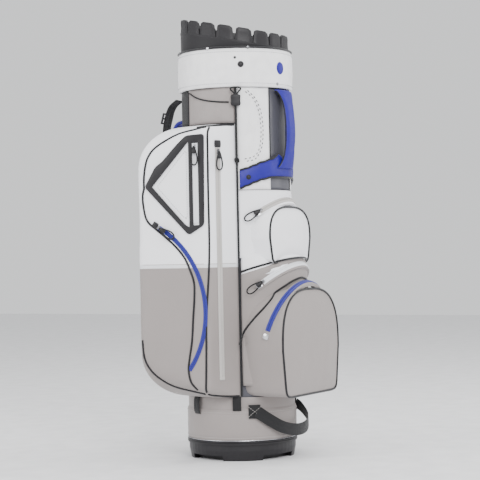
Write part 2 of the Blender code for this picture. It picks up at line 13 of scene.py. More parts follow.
import bmesh
import bpy
from mathutils import Matrix, Vector, noise
from mathutils.bvhtree import BVHTree


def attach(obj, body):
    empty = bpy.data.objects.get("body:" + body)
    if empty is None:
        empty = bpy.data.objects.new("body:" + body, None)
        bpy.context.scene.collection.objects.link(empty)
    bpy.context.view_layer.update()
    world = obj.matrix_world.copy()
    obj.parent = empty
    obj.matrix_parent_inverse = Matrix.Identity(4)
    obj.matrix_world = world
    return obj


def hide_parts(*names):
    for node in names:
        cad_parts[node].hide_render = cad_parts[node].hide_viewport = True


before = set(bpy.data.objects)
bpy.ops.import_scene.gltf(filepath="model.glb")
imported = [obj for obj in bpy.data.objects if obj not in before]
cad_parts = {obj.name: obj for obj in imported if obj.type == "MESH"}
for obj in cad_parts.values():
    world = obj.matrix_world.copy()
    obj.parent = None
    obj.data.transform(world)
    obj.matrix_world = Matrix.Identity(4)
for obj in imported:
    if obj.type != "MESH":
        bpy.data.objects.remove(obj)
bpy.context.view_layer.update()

logging.basicConfig(level=logging.INFO, format="%(message)s")
log = logging.getLogger("cart_bag")

UP = Vector((0.0, 0.0, 1.0))
SIDE = Vector((1.0, 0.0, 0.0))
Route = list[Vector]
Colour = tuple[float, float, float]


# ------------------------------------------------------------------------------ finishes


class Weave(Enum):
    """How a cloth's surface is made."""

    COATED = "coated plain weave"
    WEBBING = "woven webbing"
    MESH = "spacer mesh"


class NodeSheet:
    """A material's node tree with the few links that every finish here needs."""

    def __init__(self, name: str) -> None:
        """Start a material with a Principled shader.

        Args:
            name: the material's name.
        """
        self.material = bpy.data.materials.new(name)
        self.material.use_nodes = True
        self.tree = self.material.node_tree
        self.shader = self.tree.nodes["Principled BSDF"]

    def add(self, kind: str, **settings: object) -> bpy.types.Node:
        """Add a node.

        Args:
            kind: the node's type, without its ShaderNode prefix.
            settings: properties, or input values where the name is an input's.

        Returns:
            The new node.
        """
        node = self.tree.nodes.new("ShaderNode" + kind)
        for key, value in settings.items():
            label = key.replace("_", " ").title()
            if label in node.inputs:
                node.inputs[label].default_value = value
            else:
                setattr(node, key, value)
        return node

    def link(self, source: bpy.types.NodeSocket, target: bpy.types.NodeSocket) -> None:
        """Join two sockets."""
        self.tree.links.new(source, target)

    def coordinates(self, stretch: Sequence[float] = (1.0, 1.0, 1.0)) -> bpy.types.NodeSocket:
        """Object-space coordinates, scaled on each axis.

        Args:
            stretch: the scale along X, Y and Z.

        Returns:
            The socket that gives the coordinates.
        """
        place = self.add("TexCoord")
        mapping = self.add("Mapping")
        mapping.inputs["Scale"].default_value = stretch
        self.link(place.outputs["Object"], mapping.inputs["Vector"])
        return mapping.outputs["Vector"]

    def noise(self, scale: float, detail: float,
              vector: bpy.types.NodeSocket) -> bpy.types.NodeSocket:
        """A noise value over the given coordinates.

        Args:
            scale: how many features to a metre.
            detail: how many octaves of finer noise.
            vector: the coordinates.

        Returns:
            The noise value.
        """
        node = self.add("TexNoise", scale=scale, detail=detail)
        self.link(vector, node.inputs["Vector"])
        return node.outputs["Fac"]

    def ramp(self, value: bpy.types.NodeSocket, low: float, high: float) -> bpy.types.NodeSocket:
        """Map 0..1 onto low..high.

        Args:
            value: the input, from 0 to 1.
            low: the lowest result.
            high: the highest result.

        Returns:
            The mapped value.
        """
        node = self.add("MapRange")
        node.inputs["From Min"].default_value = 0.3
        node.inputs["From Max"].default_value = 0.7
        node.inputs["To Min"].default_value = low
        node.inputs["To Max"].default_value = high
        self.link(value, node.inputs["Value"])
        return node.outputs["Result"]

    def tint(self, base: Colour, spread: float, value: bpy.types.NodeSocket) -> None:
        """Vary the base colour between a darker and a lighter tone.

        Args:
            base: the middle colour.
            spread: how far each end lies from it, as a share.
            value: the pattern that chooses between the ends.
        """
        mix = self.add("Mix", data_type="RGBA")
        mix.inputs[6].default_value = (*(max(0.0, c * (1 - spread)) for c in base), 1.0)
        mix.inputs[7].default_value = (*(min(1.0, c * (1 + spread)) for c in base), 1.0)
        self.link(value, mix.inputs[0])
        self.link(mix.outputs[2], self.shader.inputs["Base Color"])

    def bump(self, layers: Iterable[tuple[bpy.types.NodeSocket, float, float]]) -> None:
        """Stack bump layers onto the shader's normal.

        Args:
            layers: (height, strength, distance in metres) for each layer.
        """
        last = None
        for height, strength, distance in layers:
            node = self.add("Bump")
            node.inputs["Strength"].default_value = strength
            node.inputs["Distance"].default_value = distance
            self.link(height, node.inputs["Height"])
            if last is not None:
                self.link(last, node.inputs["Normal"])
            last = node.outputs["Normal"]
        if last is not None:
            self.link(last, self.shader.inputs["Normal"])

    def weave(self, pitch: float) -> bpy.types.NodeSocket:
        """A plain weave: three crossing sets of fine ridges, one for each axis.

        Args:
            pitch: the distance between threads, in metres.

        Returns:
            The height of the weave.
        """
        vector = self.coordinates()
        total: bpy.types.NodeSocket | None = None
        for axis in ("X", "Y", "Z"):
            wave = self.add("TexWave", bands_direction=axis, scale=0.314 / pitch)
            wave.inputs["Distortion"].default_value = 0.0
            self.link(vector, wave.inputs["Vector"])
            if total is None:
                total = wave.outputs["Fac"]
                continue
            mix = self.add("Math", operation="MAXIMUM")
            self.link(total, mix.inputs[0])
            self.link(wave.outputs["Fac"], mix.inputs[1])
            total = mix.outputs[0]
        assert total is not None
        return total


@dataclass(frozen=True)
class Cloth:
    """Coated fabric, webbing or mesh."""

    name: str
    colour: Colour
    kind: Weave = Weave.COATED
    roughness: float = 0.5
    pitch: float = 0.0007
    spread: float = 0.04
    sheen: float = 0.15

    def build(self) -> bpy.types.Material:
        """Make the material.

        Returns:
            The material.
        """
        sheet = NodeSheet(self.name)
        vector = sheet.coordinates()
        soft = sheet.noise(9.0, 3.0, vector)
        fine = sheet.noise(420.0, 2.0, vector)
        sheet.tint(self.colour, self.spread, soft)
        strength = {Weave.COATED: 0.22, Weave.WEBBING: 0.7, Weave.MESH: 0.9}[self.kind]
        sheet.bump(((sheet.noise(26.0, 4.0, vector), 0.22, 0.004),
                    (sheet.weave(self.pitch), strength, 0.0004), (fine, 0.1, 0.0003)))
        sheet.link(sheet.ramp(soft, self.roughness - 0.07, self.roughness + 0.07),
                   sheet.shader.inputs["Roughness"])
        sheet.shader.inputs["Sheen Weight"].default_value = self.sheen
        sheet.shader.inputs["Specular IOR Level"].default_value = 0.22
        return sheet.material


@dataclass(frozen=True)
class Hide:
    """Synthetic leather: a pebbled grain with creases and worn high spots."""

    name: str
    colour: Colour
    roughness: float = 0.42
    grain: float = 900.0

    def build(self) -> bpy.types.Material:
        """Make the material.

        Returns:
            The material.
        """
        sheet = NodeSheet(self.name)
        vector = sheet.coordinates()
        pebbles = sheet.add("TexVoronoi", scale=self.grain, feature="SMOOTH_F1")
        sheet.link(vector, pebbles.inputs["Vector"])
        crease = sheet.noise(55.0, 5.0, vector)
        sheet.tint(self.colour, 0.16, crease)
        sheet.bump(((crease, 0.35, 0.0020), (pebbles.outputs["Distance"], 0.30, 0.0005)))
        sheet.link(sheet.ramp(crease, self.roughness - 0.08, self.roughness + 0.10),
                   sheet.shader.inputs["Roughness"])
        sheet.shader.inputs["Specular IOR Level"].default_value = 0.28
        return sheet.material


@dataclass(frozen=True)
class Moulded:
    """Moulded plastic with a fine spark-eroded texture."""

    name: str
    colour: Colour
    roughness: float = 0.45
    texture: float = 1500.0

    def build(self) -> bpy.types.Material:
        """Make the material.

        Returns:
            The material.
        """
        sheet = NodeSheet(self.name)
        vector = sheet.coordinates()
        cloud = sheet.noise(18.0, 3.0, vector)
        sheet.tint(self.colour, 0.12, cloud)
        sheet.bump(((sheet.noise(self.texture, 1.0, vector), 0.18, 0.0003),))
        sheet.link(sheet.ramp(cloud, self.roughness - 0.06, self.roughness + 0.08),
                   sheet.shader.inputs["Roughness"])
        sheet.shader.inputs["Specular IOR Level"].default_value = 0.30
        return sheet.material


@dataclass(frozen=True)
class Metal:
    """Plated or brushed metal with faint handling marks."""

    name: str
    colour: Colour
    roughness: float = 0.28

    def build(self) -> bpy.types.Material:
        """Make the material.

        Returns:
            The material.
        """
        sheet = NodeSheet(self.name)
        vector = sheet.coordinates((1.0, 1.0, 6.0))
        marks = sheet.noise(260.0, 3.0, vector)
        sheet.tint(self.colour, 0.10, marks)
        sheet.bump(((marks, 0.12, 0.0002),))
        sheet.link(sheet.ramp(marks, self.roughness - 0.06, self.roughness + 0.10),
                   sheet.shader.inputs["Roughness"])
        sheet.shader.inputs["Metallic"].default_value = 1.0
        return sheet.material


class Finishes:
    """Every finish of the bag, each material made once when it is first asked for."""

    KINDS = {
        "white_fabric": Cloth("white_coated_fabric", (0.90, 0.90, 0.93), roughness=0.42,
                              spread=0.02),
        "grey_fabric": Cloth("grey_coated_fabric", (0.285, 0.255, 0.245), roughness=0.46,
                             spread=0.05),
        "white_hide": Hide("white_synthetic_leather", (0.90, 0.89, 0.91), 0.40, 1200.0),
        "grey_hide": Hide("grey_synthetic_leather", (0.295, 0.265, 0.255), 0.45, 1200.0),
        "blue_leather": Hide("blue_synthetic_leather", (0.016, 0.010, 0.23), 0.46, 800.0),
        "blue_zip": Cloth("blue_zip_tape", (0.020, 0.022, 0.22), roughness=0.42, pitch=0.0005),
        "white_zip": Cloth("white_zip_tape", (0.74, 0.75, 0.78), roughness=0.34, pitch=0.0005),
        "grey_zip": Cloth("grey_zip_tape", (0.46, 0.44, 0.42), roughness=0.36, pitch=0.0005),
        "black_fabric": Cloth("black_spacer_mesh", (0.013, 0.013, 0.014), Weave.MESH, 0.72, 0.0016),
        "black_piping": Cloth("black_piping_cord", (0.010, 0.010, 0.012), roughness=0.42,
                              pitch=0.0006),
        "black_webbing": Cloth("black_woven_webbing", (0.011, 0.011, 0.012), Weave.WEBBING, 0.62,
                               0.0013),
        "black_cord": Cloth("black_braided_cord", (0.010, 0.010, 0.011), Weave.WEBBING, 0.60,
                            0.0008),
        "black_plastic": Moulded("black_moulded_plastic", (0.016, 0.015, 0.017), 0.42),
        "organiser_plastic": Moulded("charcoal_organiser_plastic", (0.017, 0.016, 0.018), 0.50),
        # dark slate finish: painted shade for the recess behind the front handle
        "recess_painted_shade": Moulded("slate_recess_painted_shade", (0.075, 0.075, 0.09), 0.36),
        "divider_fabric": Cloth("black_divider_fleece", (0.02, 0.02, 0.02), Weave.MESH, 0.85,
                                0.0012),
        "zip_metal": Metal("gunmetal_slider", (0.20, 0.20, 0.21), 0.30),
        "bright_metal": Metal("nickel_plate", (0.62, 0.62, 0.65), 0.24),
        "stay_metal": Metal("brushed_aluminium_stay", (0.60, 0.61, 0.63), 0.34),
        "studio_white": Moulded("studio_floor", (0.80, 0.80, 0.81), 0.7),
        "dark_thread": Cloth("dark_stitch_thread", (0.03, 0.03, 0.035), Weave.WEBBING, 0.6, 0.0005),
        "stitch_thread": Cloth("grey_stitch_thread", (0.40, 0.41, 0.44), Weave.WEBBING, 0.6,
                               0.0005),
    }
    _made: dict[str, bpy.types.Material] = {}

    @classmethod
    def get(cls, name: str) -> bpy.types.Material:
        """The material of a finish, made on first use.

        Args:
            name: a key of KINDS.

        Returns:
            The material.
        """
        if name not in cls._made:
            cls._made[name] = cls.KINDS[name].build()
        return cls._made[name]


SLOT_OF = {
    "white_hide": "white_fabric", "grey_hide": "grey_fabric", "black_piping": "black_fabric",
    "organiser_plastic": "black_plastic", "recess_painted_shade": "black_plastic",
    "bright_metal": "zip_metal", "stitch_thread": "grey_zip", "dark_thread": "black_cord",
}


# ------------------------------------------------------------------------------ mesh tools


def make(name: str, points: Sequence[Vector], faces: Sequence[Sequence[int]], *finishes: str,
         smooth: bool = True, choose: Callable[[int], int] | None = None) -> bpy.types.Object:
    """Make a mesh object with its faces pointing out.

    Args:
        name: the object's name.
        points: the vertices, in metres.
        faces: vertex numbers for each face.
        finishes: names in Finishes, one for each material slot.
        smooth: shade it smooth, with sharp edges kept over 40 degrees.
        choose: gives a face's material slot from its number.

    Returns:
        The linked object.
    """
    data = bpy.data.meshes.new(name)
    data.from_pydata([tuple(p) for p in points], [], [tuple(f) for f in faces])
    for finish in finishes:
        data.materials.append(Finishes.get(finish))
    if choose is not None:
        for i, polygon in enumerate(data.polygons):
            polygon.material_index = choose(i)
    shape = bmesh.new()
    shape.from_mesh(data)
    bmesh.ops.recalc_face_normals(shape, faces=shape.faces)
    shape.to_mesh(data)
    shape.free()
    if smooth:
        data.shade_smooth()
        data.set_sharp_from_angle(angle=math.radians(40))
    made = bpy.data.objects.new(name, data)
    bpy.context.scene.collection.objects.link(made)
    return made


def deliver(obj: bpy.types.Object, finish: str, body: str = "bag",
            replaces: Sequence[str] = ()) -> bpy.types.Object:
    """Hand a finished piece to the frame: its body and what it replaces.

    Args:
        obj: the piece.
        finish: its main finish; not used, since the slot looked up for it is not kept.
        body: the body that it rides on.
        replaces: the CAD nodes that it stands for.

    Returns:
        The same piece.
    """
    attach(obj, body)
    SLOT_OF.get(finish, finish)
    if replaces:
        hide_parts(*replaces)
    log.info("%-28s on %s, %d faces", obj.name, body, len(obj.data.polygons))
    return obj


def polar(radius: float, degrees: float, z: float = 0.0) -> Vector:
    """A point from its radius, angle and height."""
    angle = math.radians(degrees)
    return Vector((radius * math.cos(angle), radius * math.sin(angle), z))


def side_word(side: int) -> str:
    """The word for a side, from its sign along X."""
    return "left" if side < 0 else "right"


def grid_faces(rows: int, across: int, start: int = 0) -> list[tuple[int, ...]]:
    """The four-cornered faces of a grid with this many cells, whose rows follow each other.

    Args:
        rows: cells down the grid.
        across: cells across it.
        start: the number of its first vertex.

    Returns:
        Vertex numbers for each face.
    """
    width = across + 1
    return [(start + i * width + k, start + i * width + k + 1, start + (i + 1) * width + k + 1,
             start + (i + 1) * width + k) for i in range(rows) for k in range(across)]


def mirror(route: Iterable[Vector]) -> Route:
    """The route's mirror image in the bag's middle plane."""
    return [Vector((-p.x, p.y, p.z)) for p in route]


def curve_through(points: Sequence[Vector], spacing: float = 0.006) -> Route:
    """An evenly spaced smooth route through given points.

    Args:
        points: the points that shape the curve.
        spacing: the distance between the points returned.

    Returns:
        The route.
    """
    ends = [2 * points[0] - points[1], *points, 2 * points[-1] - points[-2]]
    fine: Route = []
    for a, b, c, d in zip(ends, ends[1:], ends[2:], ends[3:]):
        for k in range(20):
            t = k / 20
            fine.append(0.5 * (2 * b + (c - a) * t + (2 * a - 5 * b + 4 * c - d) * t**2
                               + (3 * b - a - 3 * c + d) * t**3))
    fine.append(points[-1].copy())
    return evenly(fine, spacing)


def evenly(fine: Sequence[Vector], spacing: float) -> Route:
    """The same route with its points evenly spaced.

    Args:
        fine: closely spaced points.
        spacing: the distance wanted between points.

    Returns:
        The evenly spaced points.
    """
    total = sum((q - p).length for p, q in zip(fine, fine[1:]))
    count = max(3, round(total / spacing))
    route, walked, want = [fine[0].copy()], 0.0, total / count
    for p, q in zip(fine, fine[1:]):
        step = (q - p).length
        while step > 0 and walked + step >= want - 1e-9 and len(route) < count:
            route.append(p.lerp(q, (want - walked) / step))
            want += total / count
        walked += step
    route.append(fine[-1].copy())
    return route


def tangents(route: Sequence[Vector], closed: bool = False) -> Route:
    """The direction of travel at each point.

    Args:
        route: the points.
        closed: whether the route is a loop.

    Returns:
        A unit vector for each point.
    """
    count = len(route)
    result = []
    for i in range(count):
        after = route[(i + 1) % count] if closed else route[min(i + 1, count - 1)]
        before = route[i - 1] if closed else route[max(i - 1, 0)]
        result.append((after - before).normalized())
    return result


def sweep_mesh(route: Sequence[Vector], ups: Sequence[Vector],
               profiles: Sequence[Sequence[tuple[float, float]]],
               closed: bool = False) -> tuple[Route, list[tuple[int, ...]]]:
    """Points and faces of a profile carried along a route.

    Args:
        route: the points to follow.
        ups: the profile's up direction at each point.
        profiles: (across, up) outlines, one for all points or one for each.
        closed: whether the route is a loop.

    Returns:
        The vertices and the faces.
    """
    points: Route = []
    faces: list[tuple[int, ...]] = []
    count, width = len(route), len(profiles[0])
    for i, (here, along) in enumerate(zip(route, tangents(route, closed))):
        up = (ups[i] - along * along.dot(ups[i])).normalized()
        side = along.cross(up)
        for a, b in profiles[i % len(profiles)]:
            points.append(here + side * a + up * b)
    for i in range(count if closed else count - 1):
        j = (i + 1) % count
        for k in range(width):
            m = (k + 1) % width
            faces.append((i * width + k, i * width + m, j * width + m, j * width + k))
    if not closed:
        faces.append(tuple(range(width - 1, -1, -1)))
        faces.append(tuple((count - 1) * width + k for k in range(width)))
    return points, faces


def sweep(name: str, route: Sequence[Vector], ups: Sequence[Vector] | Vector,
          profile: Sequence[tuple[float, float]] | Sequence[Sequence[tuple[float, float]]],
          finish: str, closed: bool = False) -> bpy.types.Object:
    """A solid made by carrying a profile along a route.

    Args:
        name: the object's name.
        route: the points to follow.
        ups: one up direction, or one for each point.
        profile: one outline, or one for each point.
        finish: its finish.
        closed: whether the route is a loop.

    Returns:
        The object.
    """
    if isinstance(ups, Vector):
        ups = [ups] * len(route)
    outlines = profile if isinstance(profile[0][0], (tuple, list)) else [profile]
    return make(name, *sweep_mesh(route, ups, outlines, closed), finish)


def round_profile(radius: float, sides: int = 10, flat: float = 1.0) -> list[tuple[float, float]]:
    """A round or oval outline.

    Args:
        radius: half the width.
        sides: how many corners it has.
        flat: its height over its width.

    Returns:
        The outline, as (across, up) pairs.
    """
    return [(radius * math.cos(math.tau * i / sides),
             radius * flat * math.sin(math.tau * i / sides))
            for i in range(sides)]


def soft_box(width: float, height: float, corner: float, steps: int = 3) -> list[tuple[float,
        float]]:
    """A rectangular outline with round corners, centred on the route.

    Args:
        width: the full width.
        height: the full height.
        corner: the corners' radius.
        steps: how many steps each corner takes.

    Returns:
        The outline, as (across, up) pairs.
    """
    outline = []
    for x, y, start in ((1, 1, 0), (-1, 1, 90), (-1, -1, 180), (1, -1, 270)):
        for i in range(steps + 1):
            a = math.radians(start + 90 * i / steps)
            outline.append((x * (width / 2 - corner) + corner * math.cos(a),
                            y * (height / 2 - corner) + corner * math.sin(a)))
    return outline


def merge(name: str, meshes: Sequence[tuple[Route, list[tuple[int, ...]]]], finish: str
          ) -> bpy.types.Object:
    """One object out of several sets of points and faces.

    Args:
        name: the object's name.
        meshes: (points, faces) pairs.
        finish: its finish.

    Returns:
        The object.
    """
    points: Route = []
    faces: list[tuple[int, ...]] = []
    for more_points, more_faces in meshes:
        start = len(points)
        points.extend(more_points)
        faces.extend(tuple(i + start for i in face) for face in more_faces)
    return make(name, points, faces, finish)


def stitches(name: str, route: Sequence[Vector], ups: Sequence[Vector], finish: str,
             length: float = 0.0030, gap: float = 0.0016, thick: float = 0.00045
             ) -> bpy.types.Object:
    """A row of separate stitches that stand a little proud of the cloth.

    Args:
        name: the object's name.
        route: the seam, with closely spaced points.
        ups: the cloth's outward direction at each point.
        finish: the thread.
        length: one stitch's length.
        gap: the space to the next.
        thick: the thread's radius.

    Returns:
        The object.
    """
    pitch = length + gap
    even = evenly(route, pitch)
    meshes = []
    for i, (here, along) in enumerate(zip(even, tangents(even))):
        up = ups[min(len(ups) - 1, round(i * (len(ups) - 1) / max(1, len(even) - 1)))]
        line = [here + along * length * (k / 3 - 0.5) + up * thick * (0.2 if k in (0, 3) else 0.9)
                for k in range(4)]
        outlines = [round_profile(thick * (0.5 if k in (0, 3) else 1.0), 6) for k in range(4)]
        meshes.append(sweep_mesh(line, [up] * 4, outlines))
    return merge(name, meshes, finish)


class Skin:
    """A finished surface that other pieces are laid on."""

    def __init__(self, *objects: bpy.types.Object) -> None:
        """Gather the surfaces' triangles for casting rays at them."""
        points: Route = []
        faces: list[tuple[int, ...]] = []
        for obj in objects:
            start = len(points)
            points.extend(v.co.copy() for v in obj.data.vertices)
            faces.extend(tuple(i + start for i in p.vertices) for p in obj.data.polygons)
        self.tree = BVHTree.FromPolygons(points, faces)

    def lay(self, route: Iterable[Vector], inward: Callable[[Vector], Vector],
            lift: float = 0.0, reach: float = 0.06) -> tuple[Route, Route]:
        """Lay a route on the surface.

        Args:
            route: points near the surface.
            inward: the direction to look along from each point.
            lift: how far to stand off the surface.
            reach: how far outside each point the look begins.

        Returns:
            The points on the surface, and the outward direction at each.
        """
        laid: Route = []
        ups: Route = []
        for point in route:
            look = inward(point).normalized()
            hit, normal, _, _ = self.tree.ray_cast(point - look * reach, look, reach * 2)
            if hit is None:
                hit, normal = point, -look
            if normal.dot(look) > 0:
                normal = -normal
            blended = (normal - look).normalized()
            laid.append(hit + blended * lift)
            ups.append(blended)
        return laid, ups


def to_axis(point: Vector) -> Vector:
    """The direction from a point to the bag's axis."""
    return Vector((-point.x, -point.y, 0.0))


def piping(name: str, route: Sequence[Vector], closed: bool = False, radius: float = 0.0022,
           body: str = "bag") -> bpy.types.Object:
    """A corded piping: a round cord with slight irregularity.

    Args:
        name: the object's name.
        route: the points.
        closed: whether the route is a loop.
        radius: the radius.
        body: the body that it rides on.

    Returns:
        The delivered piece.
    """
    ups = [Vector((0.31, 0.2, 0.93))] * len(route)
    outlines = []
    for i in range(len(route)):
        swell = 1 + 0.06 * noise.noise(Vector((i * 0.35, 0.7, radius * 100)))
        outlines.append(round_profile(radius * swell, 8))
    obj = make(name, *sweep_mesh(route, ups, outlines, closed), "black_piping")
    return deliver(obj, "black_piping", body)


def wrinkle(point: Vector, size: float, scale: float, seed: float) -> float:
    """A smooth signed height for the gentle unevenness of stretched cloth."""
    where = Vector((point.x * scale, point.y * scale, point.z * scale * 0.55 + seed))
    return size * (noise.noise(where) + 0.45 * noise.noise(where * 2.3))


def thicken(obj: bpy.types.Object, depth: float) -> None:
    """Give an open sheet its thickness, inwards.

    Args:
        obj: the open sheet.
        depth: the thickness.
    """
    shell = obj.modifiers.new("thickness", "SOLIDIFY")
    shell.thickness = depth
    shell.offset = -1.0


# ------------------------------------------------------------------------------ base and tube


@dataclass
class Base:
    """The moulded base: its tread, rim, band and the strap that hangs from it."""

    band_radius: float = 0.1110
    rim_low: float = 0.0313
    rim_high: float = 0.0400
    strap_width: float = 0.024

    def dress_nodes(self) -> None:
        """Give the base's own solids their finishes."""
        for node, finish in (("base_moulding", "black_plastic"), ("inner_floor", "divider_fabric")):
            dress(node, finish)

    def build_rim(self) -> None:
        """The black rim: a bead with a groove and a bright thread over it."""
        profile = [(self.rim_low, 0.1085), (self.rim_low, 0.1113), (0.0330, 0.1120),
                   (0.0352, 0.1120), (0.0360, 0.1112), (0.0368, 0.1120), (0.0388, 0.1119),
                   (self.rim_high, 0.1105), (self.rim_high, 0.0985), (self.rim_low, 0.0985)]
        rim = turned("base_rim_bead", profile, "black_plastic")
        deliver(rim, "black_plastic", replaces=("base_rim",))
        line = turned("base_rim_line", ring_profile(0.1113, 0.0409, 0.0006), "bright_metal")
        deliver(line, "bright_metal")

    def build_band(self) -> None:
        """The grey band round the base, with its seam and the fold over its top."""
        profile = [(0.0405, 0.1078), (0.0415, 0.1100), (0.0450, self.band_radius),
                   (0.0700, self.band_radius + 0.0003), (0.0980, self.band_radius),
                   (0.1015, 0.1104), (0.1030, 0.1088), (0.1050, 0.1084), (0.1200, 0.1086),
                   (0.1268, 0.1080), (0.1268, 0.1052), (0.0405, 0.1052)]
        band = turned("base_band_cover", profile, "grey_fabric")
        deliver(band, "grey_fabric", replaces=("base_band",))
        for name, height, radius in (("base_band_stitch_low", 0.0465, 0.1113),
                                     ("base_band_stitch_high", 0.0965, 0.1113)):
            ring = [polar(radius, a, height) for a in range(0, 361, 3)]
            row = stitches(name, ring, [(-to_axis(p)).normalized() for p in ring], "grey_zip")
            deliver(row, "stitch_thread")

    def build_strap(self) -> None:
        """The strap that hangs across the front of the base, and its sewn tabs."""
        route = curve_through([polar(*p) for p in BASE_STRAP], 0.004)
        ups = [(-to_axis(p)).normalized() for p in route]
        outline = webbing_profile(self.strap_width, 0.0020)
        deliver(sweep("base_carry_strap", route, ups, outline, "black_webbing"), "black_webbing",
                replaces=("base_web_strap",))
        for side, angle in (("left", 222.5), ("right", 317.5)):
            patch = [polar(self.band_radius + 0.0022, angle + k, 0.0985) for k in range(-6, 7, 2)]
            patch_ups = [(-to_axis(p)).normalized() for p in patch]
            tab = sweep(f"base_strap_tab_{side}", patch, patch_ups, soft_box(0.027, 0.0032, 0.001),
                        "black_webbing")
            deliver(tab, "black_webbing")
            cross = [patch[0] + UP * 0.009, patch[-1] - UP * 0.009]
            cross_two = [patch[0] - UP * 0.009, patch[-1] + UP * 0.009]
            for k, line in enumerate((cross, cross_two)):
                lifted = [p + u * 0.0028 for p, u in zip(curve_through(line, 0.003),
                                                         [patch_ups[3]] * 99)]
                deliver(stitches(f"base_tab_cross_{side}_{k}", lifted, [patch_ups[3]] * len(lifted),
                                 "grey_zip"), "stitch_thread")
        for name, angle, low, high in (("base_loop_left", 158.0, 0.093, 0.128),
                                       ("base_loop_front", 205.0, 0.101, 0.129)):
            rise = [polar(r, angle, z) for r, z in ((0.1120, high), (0.1150, high - 0.008),
                                                    (0.1152, low + 0.008), (0.1125, low))]
            bent = curve_through(rise, 0.003)
            loop = sweep(name, bent, [(-to_axis(p)).normalized() for p in bent],
                         webbing_profile(0.017, 0.0018), "black_webbing")
            deliver(loop, "black_webbing")

    def build(self) -> None:
        """Build and dress the whole base."""
        self.dress_nodes()
        self.build_rim()
        self.build_band()
        self.build_strap()


BASE_STRAP = ((0.1162, 225, 0.098), (0.1185, 238, 0.080), (0.1240, 252, 0.064),
              (0.1300, 268, 0.057), (0.1350, 284, 0.061), (0.1340, 298, 0.075),
              (0.1240, 309, 0.092), (0.1162, 315, 0.100))


def webbing_profile(width: float, thick: float) -> list[tuple[float, float]]:
    """A webbing's outline: flat, with a rounded selvedge and a faint rib.

    Args:
        width: the full width.
        thick: the thickness.

    Returns:
        The outline, as (across, up) pairs.
    """
    top = []
    for i in range(13):
        t = i / 12
        rib = 0.00018 * math.cos(t * math.tau * 3)
        edge = 0.45 if i in (0, 12) else 1.0
        top.append(((0.5 - t) * width, thick / 2 * edge + rib * edge))
    return top + [(a, -b) for a, b in reversed(top)]


def ring_profile(radius: float, height: float, thick: float) -> list[tuple[float, float]]:
    """A small round section at a radius and height, as (height, radius) pairs.

    Args:
        radius: the section's distance from the axis.
        height: the height of its middle.
        thick: its own radius.

    Returns:
        The section, as (height, radius) pairs.
    """
    return [(height + thick * math.sin(math.tau * i / 8),
             radius + thick * math.cos(math.tau * i / 8))
            for i in range(8)]


def turned(name: str, profile: Sequence[tuple[float, float]], finish: str,
           tilt: Callable[[Vector], float] | None = None, steps: int = 144) -> bpy.types.Object:
    """A ring turned round the bag's axis.

    Args:
        name: the object's name.
        profile: a closed outline of (height, radius) pairs.
        finish: its finish.
        tilt: gives a point's extra height, or None.
        steps: the number of facets round it.

    Returns:
        The object.
    """
    points: Route = []
    width = len(profile)
    for i in range(steps):
        for z, r in profile:
            point = polar(r, 360 * i / steps, z)
            if tilt is not None:
                point.z += tilt(point)
            points.append(point)
    faces = [(i * width + k, i * width + (k + 1) % width,
              ((i + 1) % steps) * width + (k + 1) % width, ((i + 1) % steps) * width + k)
             for i in range(steps) for k in range(width)]
    return make(name, points, faces, finish)


def dress(node: str, finish: str) -> None:
    """Give a CAD node's object a finish in every material slot.

    Args:
        node: the CAD node's name.
        finish: the finish.
    """
    obj = bpy.data.objects[node]
    if not obj.material_slots:
        obj.data.materials.append(Finishes.get(finish))
    for slot in obj.material_slots:
        slot.material = Finishes.get(finish)


# ------------------------------------------------------------------------------ organiser top


